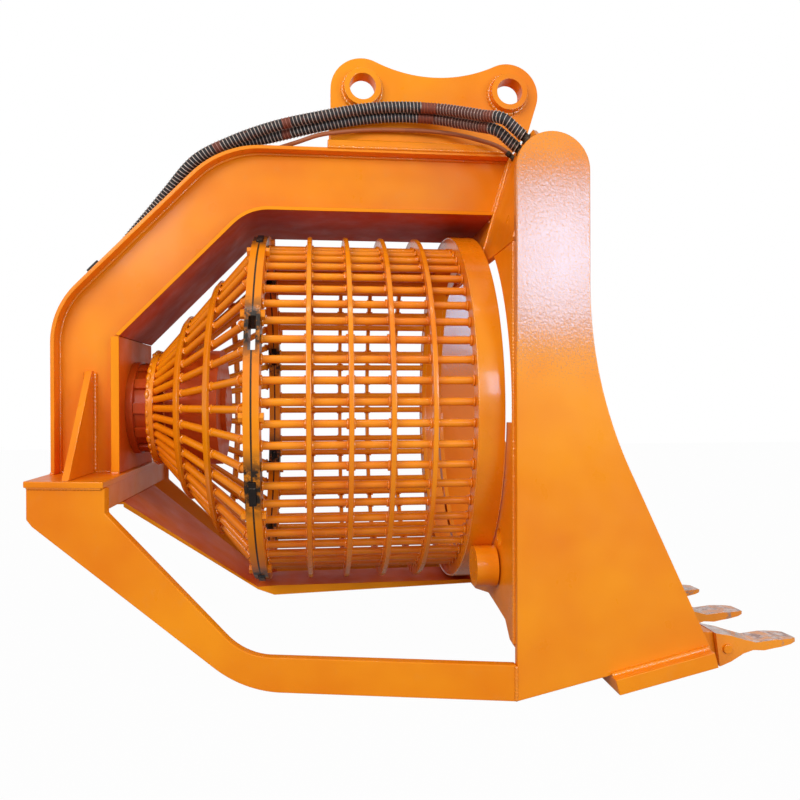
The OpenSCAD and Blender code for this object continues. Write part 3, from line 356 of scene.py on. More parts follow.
# %% Dark steel, rubber and wire
def dark_steel():
    """Near black scale, brighter along long thin scratches: noise stretched tenfold one way."""
    mat, tree, shader = new_material("dark_steel")
    stretched = add(tree, "Mapping", {"Vector": here(tree), "Scale": (30.0, 300.0, 60.0)})
    lines = add(tree, "TexNoise", {"Vector": stretched.outputs[0], "Scale": 1.0, "Detail": 3.0})
    scratch = ramp(tree, lines.outputs["Fac"], 0.62, 0.7)
    scale = mixed(tree, grain(tree, 40.0), linear(52, 43, 38), linear(24, 20, 19))
    tree.links.new(mixed(tree, scratch, scale, linear(150, 138, 126)), shader.inputs["Base Color"])
    tree.links.new(ramp(tree, scratch, 0, 1, 0.5, 0.28), shader.inputs["Roughness"])
    shader.inputs["Metallic"].default_value = 0.6
    bumped(tree, shader, (grain(tree, 120.0), 0.2, 0.001))
    return mat


def along_hose(name, clean, browned, rough, metal):
    """A hose finish: one colour, browned where the piece's own band attribute says so."""
    mat, tree, shader = new_material(name)
    band = add(tree, "Attribute", attribute_name="band").outputs["Fac"]
    spots = ramp(tree, grain(tree, 90.0, 4.0), 0.55, 0.75, 0.0, 0.5)
    drift = calc(tree, "MAXIMUM", band, spots)
    tree.links.new(mixed(tree, drift, clean, browned), shader.inputs["Base Color"])
    shader.inputs["Roughness"].default_value = rough
    shader.inputs["Metallic"].default_value = metal
    bumped(tree, shader, (grain(tree, 300.0, 2.0), 0.15, 0.0006))
    return mat


def plated_steel():
    """Plated steel in a dark brown grey: clouded by noise, fairly smooth."""
    mat, tree, shader = new_material("plated_steel")
    colour = mixed(tree, grain(tree, 60.0), linear(84, 68, 54), linear(48, 38, 30))
    tree.links.new(colour, shader.inputs["Base Color"])
    shader.inputs["Metallic"].default_value = 0.85
    tree.links.new(ramp(tree, grain(tree, 25.0), 0.3, 0.7, 0.3, 0.5), shader.inputs["Roughness"])
    bumped(tree, shader, (grain(tree, 200.0), 0.1, 0.0005))
    return mat


DARK, PLATED = dark_steel(), plated_steel()
HOSE_RUBBER = along_hose("hose_rubber", linear(28, 23, 22), linear(120, 54, 32), 0.7, 0.0)
HOSE_WIRE = along_hose("hose_guard_wire", linear(196, 176, 162), linear(160, 82, 56), 0.35, 0.25)
DRAIN = along_hose("drain_hose_rubber", linear(168, 88, 42), linear(120, 58, 34), 0.5, 0.0)
print("dark finishes:", [m.name for m in (DARK, PLATED, HOSE_RUBBER, HOSE_WIRE, DRAIN)])

# %% [markdown]
# A CAD plate has knife edges, and nothing cut from steel does. Each plate is copied, the copy's
# loose triangles are welded together, flat neighbours are dissolved into one face, and only the
# sharp edges are rounded. A weighted normal then keeps the big faces flat, so the thin rounded
# edge alone catches the light, as paint does on a ground corner.

# %% Rounding the edges of a CAD plate
def round_edges(node, width, material, sharp=34.0, steps=2):
    """Copies a node, merges it, bevels edges sharper than the limit by width in mm, and replaces it."""
    source = frame["nodes"][node]
    mesh = source.data.copy()
    bm = bmesh.new()
    bm.from_mesh(mesh)
    bmesh.ops.remove_doubles(bm, verts=bm.verts, dist=2e-6)
    bmesh.ops.dissolve_limit(bm, angle_limit=np.radians(0.4), verts=bm.verts, edges=bm.edges)
    limit = np.radians(sharp)
    edges = [e for e in bm.edges if len(e.link_faces) == 2 and e.calc_face_angle(0.0) > limit]
    if width and edges:
        bmesh.ops.bevel(bm, geom=edges, offset=width / 1000, offset_type="OFFSET", segments=steps,
                        profile=0.5, affect="EDGES", clamp_overlap=True)
    for face in bm.faces:
        face.smooth = True
    for edge in bm.edges:
        edge.smooth = len(edge.link_faces) != 2 or edge.calc_face_angle(0.0) < limit
    bm.to_mesh(mesh)
    bm.free()
    mesh.materials.clear()
    mesh.materials.append(material)
    made = bpy.data.objects.new(node + "_rounded", mesh)
    bpy.context.scene.collection.objects.link(made)
    flat = made.modifiers.new("flat_faces", "WEIGHTED_NORMAL")
    flat.keep_sharp = True
    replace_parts(made, node)
    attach(made, source["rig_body"])
    return made


PLATES = {
    "side_plate_near": (4, PAINT_PLATE), "side_plate_far": (4, PAINT_PLATE),
    "web_near": (0, PAINT), "web_far": (0, PAINT), "outer_wrap": (2.5, PAINT),
    "inner_wrap": (2.5, PAINT_INSIDE_SHADE), "motor_mount_plate": (3, PAINT_SHADE), "ear_base_plate": (4, PAINT),
    "ear_near": (4, PAINT), "ear_far": (4, PAINT), "pin_bosses": (2.5, PAINT),
    "mouth_back_plate": (2, PAINT), "mouth_top_plate": (3, PAINT), "mouth_floor": (1, PAINT),
    "cutting_lip": (3, PAINT), "tooth_adapters": (3, PAINT_BAR), "teeth": (4, TOOTH_PAINT),
    "tooth_pins": (2.5, PAINT_BAR), "skid_leg_near": (4, PAINT), "skid_leg_far": (4, PAINT),
    "base_shelf": (3, PAINT), "gusset_ribs": (3, PAINT), "rear_cross_beam": (4, PAINT),
    "under_beam": (1.5, PAINT_SHADE), "gearbox_flange": (2, PAINT_RED), "bolt_blocks": (2, PAINT_RED),
    "gearbox_housing": (3, PAINT_RED), "hydraulic_motor": (3, DARK), "roller_axles": (1, DARK),
    "roller_near": (3, PAINT), "roller_far": (3, PAINT), "port_block": (2, DARK),
}
for plate, (width, finish) in PLATES.items():
    round_edges(plate, width, finish)
print("rounded plates:", len(PLATES))

# %% Rounding the drum's parts
DRUM = {
    "drum_bars": (0, PAINT_BAR), "cone_bars": (0, PAINT_BAR), "front_ring": (3, PAINT_BAR),
    "drum_hoops": (3, PAINT_BAR), "cone_hoop_front": (2, PAINT_BAR), "cone_hoop_rear": (2, PAINT_BAR),
    "cone_end_ring": (4, PAINT_BAR), "drive_can": (3, PAINT_RED), "drive_lugs": (2, PAINT_RED),
    "drive_cap": (2, PAINT_RED), "flange_bolts": (1.2, PAINT_BAR), "splice_blocks": (2, DARK),
    "flange_ring_front": (1.5, SCORCHED_AND_JOINT_SHADE), "flange_ring_rear": (1.5, SCORCHED_AND_JOINT_SHADE),
}
for part, (width, finish) in DRUM.items():
    round_edges(part, width, finish)
print("rounded drum parts:", len(DRUM))

# %% [markdown]
# Everything new is a surface on a grid: rows of points, joined to the next row by quads. A tube is
# such a grid too, a circle carried along a path. These few functions make all hoses and welds.

# %% Surfaces and tubes
def grid(points, wrap_rows=False, wrap_columns=True):
    """Points (rows, columns, 3) as vertices and quads; wrapping joins the last to the first."""
    rows, cols = points.shape[:2]
    index = np.arange(rows * cols).reshape(rows, cols)
    a = index if wrap_rows else index[:-1]
    b = np.roll(index, -1, 0) if wrap_rows else index[1:]
    if wrap_columns:
        a2, b2 = np.roll(a, -1, 1), np.roll(b, -1, 1)
    else:
        a, a2, b, b2 = a[:, :-1], a[:, 1:], b[:, :-1], b[:, 1:]
    return points.reshape(-1, 3), np.stack([a, a2, b2, b], -1).reshape(-1, 4)


def unit(v):
    """Vectors along the last axis, divided by their lengths."""
    return v / np.maximum(np.linalg.norm(v, axis=-1, keepdims=True), 1e-12)


def side_vectors(path, level=(0.0, 1.0, 0.0)):
    """At each point of a path: the tangent, and two unit vectors square to it and to each other."""
    t = unit(np.gradient(path, axis=0))
    u = unit(np.cross(t, level))
    return t, u, np.cross(t, u)


def tube(path, radius, sides=8, closed=False, level=(0.0, 1.0, 0.0)):
    """A circle of the given radius, one value or one a point, carried along the path."""
    if closed:
        t, u, v = side_vectors(np.concatenate([path[-2:], path, path[:2]]), level)
        u, v = u[2:-2], v[2:-2]
    else:
        t, u, v = side_vectors(path, level)
    a = np.arange(sides) * 2 * np.pi / sides
    r = np.broadcast_to(radius, len(path))[:, None, None]
    points = path[:, None] + r * (np.cos(a)[:, None] * u[:, None] + np.sin(a)[:, None] * v[:, None])
    if closed:
        return grid(points, wrap_rows=True)
    ends = [np.repeat(path[i][None, None], sides, 1) for i in (0, -1)]
    return grid(np.concatenate([ends[0], points, ends[1]]))


def even(path, step):
    """The same path with a point every step, along its length."""
    run = np.concatenate([[0], np.cumsum(np.linalg.norm(np.diff(path, axis=0), axis=1))])
    s = np.linspace(0, run[-1], max(3, int(run[-1] / step) + 1))
    return np.stack([np.interp(s, run, path[:, i]) for i in range(3)], -1), s


def piece(name, parts, body, material, attribute=None):
    """One object from many (vertices, quads) parts, its doubles merged and its normals outward."""
    counts = np.cumsum([0] + [len(v) for v, f in parts])
    verts = np.concatenate([v for v, f in parts])
    quads = np.concatenate([f + n for (v, f), n in zip(parts, counts)])
    mesh = bpy.data.meshes.new(name)
    mesh.from_pydata(verts.tolist(), [], quads.tolist())
    if attribute is not None:
        mesh.attributes.new("band", "FLOAT", "POINT").data.foreach_set("value", attribute.astype(np.float32))
    bm = bmesh.new()
    bm.from_mesh(mesh)
    bmesh.ops.remove_doubles(bm, verts=bm.verts, dist=1e-6)
    bmesh.ops.recalc_face_normals(bm, faces=bm.faces)
    bm.to_mesh(mesh)
    bm.free()
    mesh.shade_smooth()
    mesh.materials.append(material)
    made = bpy.data.objects.new(name, mesh)
    bpy.context.scene.collection.objects.link(made)
    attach(made, body)
    print(name, len(mesh.polygons), "faces")
    return made


print("surface helpers ready")

# %% [markdown]
# The hoses lie on the box frame and the seams follow its edges, so its outline is worked out here
# as in the source: an offset of the outer contour, with its two corners rounded by arcs.

# %% Outline of the box frame
SLOPE, LEAN = np.radians(45.5), np.radians(16.8)
UPPER_BEND_R, LOWER_BEND_R, INNER_BEND_R = 300, 250, 348


def corner(d, upper):
    """The frame's corner at depth d: where the diagonal meets the level top or the upright rear."""
    if upper:
        rise = TOP_Z - d - CORNER_Z + d / np.cos(SLOPE)
        return np.array([REAR_X + rise / np.tan(SLOPE), TOP_Z - d])
    return np.array([REAR_X + d, CORNER_Z + d * np.tan(SLOPE) - d / np.cos(SLOPE)])


def rounded(a, b, c, r, count=24):
    """Points of an arc of radius r that touches the lines from b to a and from b to c."""
    u, v = unit(a - b), unit(c - b)
    half = np.arccos(u @ v) / 2
    centre = b + unit(u + v) * r / np.sin(half)
    p, q = b + u * r / np.tan(half) - centre, b + v * r / np.tan(half) - centre
    start, sweep = np.arctan2(p[1], p[0]), np.arctan2(q[1], q[0]) - np.arctan2(p[1], p[0])
    sweep = (sweep + np.pi) % (2 * np.pi) - np.pi
    a = start + sweep * np.linspace(0, 1, count)
    return centre + r * np.stack([np.cos(a), np.sin(a)], -1)


def frame_line(d, y, inner=False):
    """The frame's contour at depth d on the plane y, as a path from the mouth to its end."""
    front = np.array([(TOP_Z - d - LEAN_Z) * np.tan(LEAN), TOP_Z - d])
    up, rear, foot = corner(d, True), corner(d, False), np.array([REAR_X + d, SHELF_TOP - 2.0])
    if inner:
        xz = np.concatenate([[front], rounded(front, up, rear, INNER_BEND_R - d), [rear]])
    else:
        xz = np.concatenate([[front], rounded(front, up, rear, UPPER_BEND_R - d),
                             rounded(up, rear, foot, LOWER_BEND_R - d), [foot]])
    return np.stack([xz[:, 0], np.full(len(xz), y), xz[:, 1]], -1)


print("inner corners", corner(BOX_DEPTH, True).round(1), corner(BOX_DEPTH, False).round(1))

# %% [markdown]
# The hoses leave their unions on the mouth's top plate, arch over the beam, bend at the frame's
# upper corner and run down its slope. The route repeats the source's three short lists of places.
# They are joined by a cubic curve whose slope at each place is the mean of the slopes on both
# sides, weighted by the other side's length.

# %% Hose routes
def hose_route(arch, bend, slope):
    """Drum millimetres from places on the top, round the corner, and down the slope square to it."""
    top, bends, down = (np.array(p, float) for p in (arch, bend, slope))
    x0, z0 = corner(0, True)
    along, off = down[:, 0], down[:, 2]
    down = np.stack([x0 - along * np.cos(SLOPE) - off * np.sin(SLOPE), down[:, 1],
                     z0 - along * np.sin(SLOPE) + off * np.cos(SLOPE)], -1)
    points = np.concatenate([top + [0, 0, z0], bends + [x0, 0, z0], down])
    return points * [1, -1, 1] - [0, WRAP_HALF, 0]


UPPER = hose_route([[88, 198, -16], [62, 198, 6], [36, 198, 28], [-20, 150, 57], [-75, 104, 83],
                    [-135, 60, 107], [-318, 38, 113], [-501, 31, 81]], [[146, 4, 51], [25, -4, 5]],
                   [[78, -16, 20], [222, -54, 22], [278, -74, 22], [409, -116, 22], [481, -146, 21],
                    [520, -146, 21]])
LOWER = hose_route([[82, 154, -36], [56, 154, -14], [30, 154, 8], [-30, 100, 45], [-80, 60, 68],
                    [-135, 28, 88], [-318, 6, 94], [-501, -2, 62]], [[146, -34, 33], [25, -46, 5]],
                   [[78, -60, 20], [222, -98, 22], [278, -118, 22], [409, -160, 22],
                    [481, -190, 21], [520, -190, 21]])
DRAIN_LINE = hose_route([[93, 38, -20], [75, 38, -5], [-17, 22, 34], [-135, 4, 58], [-252, -3, 62],
                         [-377, -3, 56], [-440, 6, 45], [-501, 10, 32], [-568, -8, 14]],
                        [[146, -72, 9], [25, -100, -7]],
                        [[88, -112, 7], [222, -140, 8], [278, -158, 9], [409, -200, 9],
                         [481, -224, 9], [520, -224, 9]])


def smooth_route(points, step=0.003):
    """Cubic Hermite curve through the points, resampled evenly."""
    p = from_drum(points)
    seg = np.linalg.norm(np.diff(p, axis=0), axis=1)[:, None]
    flat = np.diff(p, axis=0) / seg
    inner = (flat[1:] * seg[:-1] + flat[:-1] * seg[1:]) / (seg[1:] + seg[:-1])
    slope = np.concatenate([flat[:1], inner, flat[-1:]])
    u = np.linspace(0, 1, 40)[None, :, None]
    a, b, ma, mb = p[:-1, None], p[1:, None], (slope[:-1] * seg)[:, None], (slope[1:] * seg)[:, None]
    curve = (2 * u**3 - 3 * u**2 + 1) * a + (u**3 - 2 * u**2 + u) * ma \
        + (3 * u**2 - 2 * u**3) * b + (u**3 - u**2) * mb
    return even(curve.reshape(-1, 3), step)


for route in (UPPER, LOWER, DRAIN_LINE):
    print("route length", round(float(smooth_route(route)[1][-1]), 3), "m")

# %% [markdown]
# A guarded hose is two things: a black rubber tube, and a spring of steel wire wound over it. The
# wire is a helix round the route: it goes round by an angle that grows with the length travelled.

# %% Guarded hoses
WIRE_PITCH, WIRE_R, GUARD_R, RUBBER_R = 0.0112, 0.0013, 0.0165, 0.0155
RUBBER_SIDES, WIRE_SIDES, DRAIN_SIDES, DRAIN_R = 12, 5, 10, 0.0068
BROWNED = [(0.07, 0.09, 0.8), (0.09, 0.2, 0.45), (0.2, 0.235, 1.0), (0.498, 0.515, 0.9),
           (0.645, 0.66, 0.7)]


def brown_bands(s):
    """How brown the hose is at each length: the stretch (from, to, strength) that its share lies in."""
    share = s / s[-1]
    return np.max([np.where((share > a) & (share < b), k, 0.0) for a, b, k in BROWNED], axis=0)


def on_tube(values, sides):
    """A value for each vertex of a tube from one value a point; the two end caps get 0."""
    return np.repeat(np.concatenate([[0], values, [0]]), sides)


def guarded_hose(name, points):
    """A rubber tube along the route, and a wire carried along a helix round it."""
    path, s = smooth_route(points)
    core, band = tube(path, RUBBER_R, RUBBER_SIDES), on_tube(brown_bands(s), RUBBER_SIDES)
    hose = piece(name + "_rubber", [core], "frame", HOSE_RUBBER, band)
    fine = np.linspace(0, s[-1], int(s[-1] / WIRE_PITCH * 16))
    centre = np.stack([np.interp(fine, s, path[:, i]) for i in range(3)], -1)
    t, u, v = side_vectors(centre)
    turn = (fine * 2 * np.pi / WIRE_PITCH)[:, None]
    helix = centre + GUARD_R * (np.cos(turn) * u + np.sin(turn) * v)
    wire = tube(helix, WIRE_R, WIRE_SIDES, level=tuple(unit(path[-1] - path[0])))
    band = on_tube(brown_bands(fine), WIRE_SIDES)
    piece(name + "_wire", [wire], "frame", HOSE_WIRE, band)
    return hose


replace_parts(guarded_hose("upper_hose", UPPER), "hose_upper")
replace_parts(guarded_hose("lower_hose", LOWER), "hose_lower")

# %% Drain hose
drain_path, drain_s = smooth_route(DRAIN_LINE)
drain_tube = tube(drain_path, DRAIN_R, DRAIN_SIDES)
drain_band = on_tube(0.3 * brown_bands(drain_s), DRAIN_SIDES)
drain = piece("drain_hose", [drain_tube], "frame", DRAIN, drain_band)
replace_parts(drain, "drain_line")

# %% [markdown]
# Each hose is screwed to a union: a collar against the plate, a hexagon nut, and a crimped sleeve
# over the hose's end. All are profiles turned round one axis, the nut with six flats.

# %% Hose unions
def turned(origin, axis, profile, sides=24, flats=None):
    """A profile of (distance, radius) turned round an axis; flats shapes its rows into a polygon."""
    axis = unit(np.asarray(axis, float))
    u = unit(np.cross(axis, [0, 1, 0]))
    v = np.cross(axis, u)
    a = (np.arange(sides) + 0.5) * 2 * np.pi / sides
    rows = []
    for i, (d, r) in enumerate(profile):
        ring = np.full(sides, r)
        if flats and flats[0] <= i <= flats[1]:
            fold = (a + np.pi / 6) % (np.pi / 3) - np.pi / 6
            ring = np.minimum(r, r * np.cos(np.pi / 6) / np.cos(fold) * 1.02)
        rows.append(origin + axis * d + ring[:, None] * (np.cos(a)[:, None] * u + np.sin(a)[:, None] * v))
    return grid(np.array(rows))


def union(route, bore):
    """Collar, nut and sleeve along the hose's first direction, sized by the hose's radius in metres."""
    start, after = from_drum(route[:2])
    axis = unit(after - start)
    sleeve = [(-0.030, 0), (-0.030, 1.05), (-0.012, 1.08), (-0.010, 0.9), (0.0005, 0.9), (0.0005, 0)]
    nut = [(-0.028, 0), (-0.028, 1.25), (-0.026, 1.32), (-0.012, 1.32), (-0.010, 1.2), (-0.010, 0)]
    crimp = [(0.0, 0), (0.0, 1.0), (0.002, 1.14), (0.006, 1.14), (0.008, 1.06), (0.011, 1.14),
             (0.014, 1.1), (0.016, 0.8), (0.016, 0)]
    scaled = [[(d, r * bore) for d, r in p] for p in (sleeve, nut, crimp)]
    return [turned(start, axis, scaled[0]), turned(start, axis, scaled[1], flats=(1, 4)),
            turned(start, axis, scaled[2])]


unions = union(UPPER, 0.0145) + union(LOWER, 0.0145) + union(DRAIN_LINE, 0.008)
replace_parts(piece("hose_union_nuts", unions, "frame", PLATED), "hose_unions")

# %% [markdown]
# Welds are what tells a fabricated bucket from a cast one. A hand-laid bead is a half-sunk cord of
# metal with a ripple at every pause of the hand. Here it is a thin tube along the joint, whose
# radius swells and shrinks as a rectified sine of the length travelled, with seeded unevenness.

# %% Weld beads
rng = np.random.default_rng(7)


def bead(path_mm, radius=4.0, pitch=7.0, sides=6, closed=False, level=(0.0, 1.0, 0.0)):
    """A rippled tube along a path in drum millimetres: radius times 0.8 plus 0.2 of |sin|, jittered."""
    path = from_drum(path_mm)
    if closed:
        path = np.concatenate([path, path[:1]])
    path, s = even(path, pitch / 3500)
    swell = 0.78 + 0.22 * np.abs(np.sin(np.pi * s / (pitch / 1000)))
    r = radius / 1000 * swell * rng.uniform(0.9, 1.08, len(s))
    return tube(path[:-1], r[:-1], sides, True, level) if closed else tube(path, r, sides, False, level)


def circle(x, radius, angle_from=0.0, angle_to=360.0, count=90):
    """An arc round the drum's axis at x, in drum millimetres."""
    return round_axis(x, radius, np.linspace(angle_from, angle_to, count))


def line(*points):
    """A straight joint through the points, in drum millimetres."""
    return np.array(points, float)


def mirrored(path):
    """The same joint on the far side: y changes its sign."""
    return path * [1, -1, 1]


def both(*paths):
    """Each joint and its mirror image."""
    return [q for p in paths for q in (p, mirrored(p))]


print("bead of a metre has", len(bead(line([0, 0, 0], [1000, 0, 0]))[1]), "faces")

# %% Seams of the box frame
top_x = (TOP_Z - LEAN_Z) * np.tan(LEAN)
seams = both(
    frame_line(14, -WEB_FACE), frame_line(183, -WEB_FACE, inner=True),
    line([-1122, -WEB_FACE, 218], [-1122, -WEB_FACE, SHELF_TOP]),
    line([-1281, -WEB_FACE, SHELF_TOP], [-1126, -WEB_FACE, SHELF_TOP]),
    line([-1099, -WRAP_HALF, SHELF_TOP], [-1124, -WRAP_HALF, SHELF_TOP]),
    line([-475, -WRAP_HALF, TOP_Z + 1], [108, -WRAP_HALF, TOP_Z + 1]),
    line([-476, -WRAP_HALF, TOP_Z + 2], [-476, 0, TOP_Z + 2]),
    line([top_x - 3, -WRAP_HALF, TOP_Z - 2], [3, -WRAP_HALF, LEAN_Z + 12], [0, -WRAP_HALF, LEAN_Z + 2]),
    line([46, -WEB_FACE, 595], [105, -WEB_FACE, 790]))
beads = [bead(s, 6.0, 9.0) for s in seams]
beads += [bead(s, 9.0, 14.0) for s in both(line([top_x - 3, -210, 800], [52, -210, 612]))]
beads.append(bead(line([-512, -211, 607], [-512, 211, 607]), 8.0, 11.0))
mount_z = corner(BOX_DEPTH, False)[1] - 1
beads.append(bead(line([-1098, -208, mount_z], [-1098, 208, mount_z]), 6, 9.0))
piece("frame_seam_welds", beads, "frame", PAINT_WELD)

# %% Ear, boss and rib welds
def ring_at(pin, radius, y, count=60):
    """A circle round a pin's axis on the plane y."""
    a = np.linspace(0, 2 * np.pi, count, endpoint=False)
    return np.stack([pin[0] + radius * np.cos(a), np.full(count, y), pin[1] + radius * np.sin(a)], -1)


PIN_AXES = ((100.0, 1000.0), (-365.98, 996.0))
EAR_BASE_TOP, BOSS_BEAD_R, RIB_SIDES = 833, 61, (-1182, -1208)
beads = []
for pin in PIN_AXES:
    for y in (-191.5, 191.5, -159.0, 159.0):
        beads.append(bead(ring_at(pin, BOSS_BEAD_R, y), 8.0, 11.0, closed=True, level=(1.0, 0.0, 0.3)))
beads += [bead(s, 8.0, 12.0) for s in both(*(
    line([x, -168, 110], [x, -168, SHELF_TOP], [x, -385, SHELF_TOP]) for x in RIB_SIDES))]
beads += [bead(s, 6.0, 9.0) for s in both(
    line([-464, -192, EAR_BASE_TOP], [114, -192, EAR_BASE_TOP]),
    line([-464, -158, EAR_BASE_TOP], [114, -158, EAR_BASE_TOP]),
    line([-466, -160, EAR_BASE_TOP], [-466, -190, EAR_BASE_TOP]),
    line([118, -160, EAR_BASE_TOP], [118, -190, EAR_BASE_TOP]),
    line([-1299, -212, SHELF_TOP], [-1299, 0, SHELF_TOP]),
    line([-1297, -213, SHELF_TOP], [-1285, -213, SHELF_TOP]))]
piece("ear_and_rib_welds", beads, "frame", PAINT_WELD)

# %% Mouth and leg welds
LIP_PITCH, SIDE_INNER, BACK_FRONT = np.radians(12.5), 624, 17
LEG_REAR_X, LEG_REAR_Y, LEG_FRONT_Y, SHELF_UNDER = 1305, 375, 650, -214


def lip_line(s, n, y):
    """A place on the lip: s along it from the heel, n square to it, in drum millimetres."""
    return [s * np.cos(LIP_PITCH) - n * np.sin(LIP_PITCH), y,
            LIP_HEEL_Z + s * np.sin(LIP_PITCH) + n * np.cos(LIP_PITCH)]


def leg_y(x, inner=0.0):
    """How far the leg's outer face is from mid width at x."""
    return LEG_REAR_Y + (x + LEG_REAR_X) * (LEG_FRONT_Y - LEG_REAR_Y) / LEG_REAR_X - inner


beads = [bead(s, 8.5, 12.0) for s in both(line(lip_line(258, 2, -653), lip_line(533, 2, -653)))]
beads += [bead(s, 5.5, 9.0) for s in both(
    line(lip_line(258, 1, -SIDE_INNER), lip_line(533, 1, -SIDE_INNER)),
    line([BACK_FRONT, -SIDE_INNER, -545], [BACK_FRONT, -SIDE_INNER, LEAN_Z - 2]),
    line([BACK_FRONT, -SIDE_INNER, -546], [243, -SIDE_INNER, -697]),
    line([-1, -626, 445], [70, -626, 700]),
    line([-1, -SIDE_INNER, -612], [-1, -SIDE_INNER, LEAN_Z - 2]),
    line([-2, -leg_y(0) + 2, -750], [-2, -leg_y(0) + 2, -660]),
    line([-1302, -leg_y(-1302, -1), SHELF_UNDER], [-1092, -leg_y(-1092, -1), SHELF_UNDER]),
    line([-1090, -leg_y(-1090, 30), SHELF_UNDER], [-1300, -leg_y(-1300, 30), SHELF_UNDER]))]
beads.append(bead(line([0, -600, LEAN_Z + 1], [0, 600, LEAN_Z + 1]), 5, 9.0))
beads.append(bead(line([18, -620, LEAN_Z + 2], [18, 620, LEAN_Z + 2]), 5, 9.0))
piece("mouth_and_leg_welds", beads, "frame", PAINT_WELD)

# %% [markdown]
# On the drum each crossing is tacked by hand: two short beads over each bar where it passes under
# a hoop, and a full ring where it ends on a flange. One small bead is made for a bar at angle 0,
# and every other is that one turned round the axis, each a little bigger or smaller.

# %% Turning one bead round the drum
def round_drum(part, angles, spread=0.12):
    """Copies of (vertices, quads) turned round the drum's axis; each is grown a little at random."""
    verts, quads = part
    axis = from_drum([0, 0, 0]) * [0, 1, 1]
    middle = verts.mean(0)
    size = 1 + rng.uniform(-spread, spread, len(angles))[:, None, None]
    grown = middle + (verts - middle)[None] * size - axis
    a = np.radians(np.asarray(angles))[:, None]
    y = grown[..., 1] * np.cos(a) + grown[..., 2] * np.sin(a)
    z = grown[..., 2] * np.cos(a) - grown[..., 1] * np.sin(a)
    turned_verts = np.stack([grown[..., 0], y, z], -1) + axis
    steps = np.arange(len(angles)) * len(verts)
    return turned_verts.reshape(-1, 3), (quads[None] + steps[:, None, None]).reshape(-1, 4)


def over_bar(x, reach, radius=BAR_R + 0.5, at=BAR_PITCH_R, count=11):
    """An arc over the outer side of a near-side bar: reach degrees to each side of straight out."""
    a = np.radians(np.linspace(-reach, reach, count))
    return np.stack([np.full(count, x), -at - radius * np.cos(a), radius * np.sin(a)], -1)


BAR_ANGLES = FIRST_BAR_ANGLE - np.arange(BAR_COUNT) * 360 / BAR_COUNT
tacks = []
for x in HOOPS:
    for side in (-1, 1):
        arc = over_bar(x + side * 9.0, 72)
        tacks.append(round_drum(bead(arc, 4.6, 6.0, 5, level=(1.0, 0.0, 0.0)), BAR_ANGLES))
piece("hoop_tack_welds", tacks, "drum", PAINT_WELD)

# %% Bar end welds
ends = []
for x in (FLANGE_FRONT + 3, BAND_BACK - 3):
    ring = over_bar(x, 180, BAR_R + 1.0, count=15)[:-1]
    ends.append(round_drum(bead(ring, 3.8, 6.0, 5, closed=True, level=(1.0, 0.0, 0.0)), BAR_ANGLES))
piece("bar_end_welds", ends, "drum", PAINT_WELD)

# %% Cone welds
CONE_ANGLES = np.arange(CONE_BAR_COUNT) * 360 / CONE_BAR_COUNT
CONE_SLOPE = np.arctan2(CONE_FRONT_R - CONE_END_R, FLANGE_BACK - CONE_END)


def cone_axis(share):
    """(x, radius) of a cone bar's axis at a share of its length from the flange."""
    return FLANGE_BACK + share * (CONE_END - FLANGE_BACK), CONE_FRONT_R - share * (CONE_FRONT_R - CONE_END_R)


def over_cone_bar(share, along, reach=72, count=11):
    """The same arc on a sloping bar, moved along it by a few millimetres."""
    x, r = cone_axis(share)
    x, r = x + along * np.cos(CONE_SLOPE), r + along * np.sin(CONE_SLOPE)
    a = np.radians(np.linspace(-reach, reach, count))
    out = (BAR_R + 0.5) * np.cos(a)
    return np.stack([x - out * np.sin(CONE_SLOPE), -r - out * np.cos(CONE_SLOPE),
                     (BAR_R + 0.5) * np.sin(a)], -1)


tacks = []
for share in CONE_HOOP_SHARES:
    for side in (-1, 1):
        arc = over_cone_bar(share, side * 12.5)
        tacks.append(round_drum(bead(arc, 4.2, 6.0, 5, level=(0.6, 0.8, 0.0)), CONE_ANGLES))
root = bead(over_cone_bar(0.0, -14, 100), 4.5, 6.0, 5, level=(0.6, 0.8, 0.0))
tacks.append(round_drum(root, CONE_ANGLES))
piece("cone_tack_welds", tacks, "drum", PAINT_WELD)

# %% [markdown]
# At the cone's small end the bars almost touch, and the welder filled the ring with lumps. Each
# lump is a ball with a slow wave on it, sunk between a bar's end and the ring.

# %% Weld lumps on the small ring
def lump(centre_mm, size_mm, rows=7, cols=9):
    """A ball squeezed to three half-axes, its radius waved by a product of two sines."""
    lat = np.linspace(-np.pi / 2, np.pi / 2, rows)[:, None]
    lon = (np.arange(cols) * 2 * np.pi / cols)[None]
    r = 1 + 0.12 * np.sin(3 * lon + 1) * np.cos(2 * lat)
    shape = np.stack([np.sin(lat) * r, np.cos(lat) * np.cos(lon) * r, np.cos(lat) * np.sin(lon) * r], -1)
    return grid(from_drum(np.array(centre_mm) + shape * np.array(size_mm)))


knots = [round_drum(lump([-1010, -170, 0], [11, 13, 11]), CONE_ANGLES, 0.25),
         round_drum(lump([-1026, -183, 0], [6, 5, 12]), CONE_ANGLES + 4.5, 0.3)]
piece("cone_ring_weld_lumps", knots, "drum", PAINT_WELD)

# %% Ring beads on the drive and the flanges
rings = [bead(circle(-935, 142, count=120)[:-1], 5, 9.0, closed=True, level=(1.0, 0.0, 0.0)),
         bead(circle(-985, 138, count=120)[:-1], 4, 9.0, closed=True, level=(1.0, 0.0, 0.0)),
         bead(circle(-66, 566, count=240)[:-1] - [13, 0, 0], 3, 9.0, closed=True, level=(1.0, 0.0, 0.0))]
piece("drive_ring_welds", rings, "drum", PAINT_WELD)

# %% [markdown]
# The floor is a wide pale plate under the bucket. For the camera it shows mostly white, so the
# picture's ground stays clean, but a trace of its real shading is kept, which leaves the soft
# shadow. Shiny surfaces mirror some of that white. Everything else sees it as plain pale grey, so
# it bounces light into the undersides.

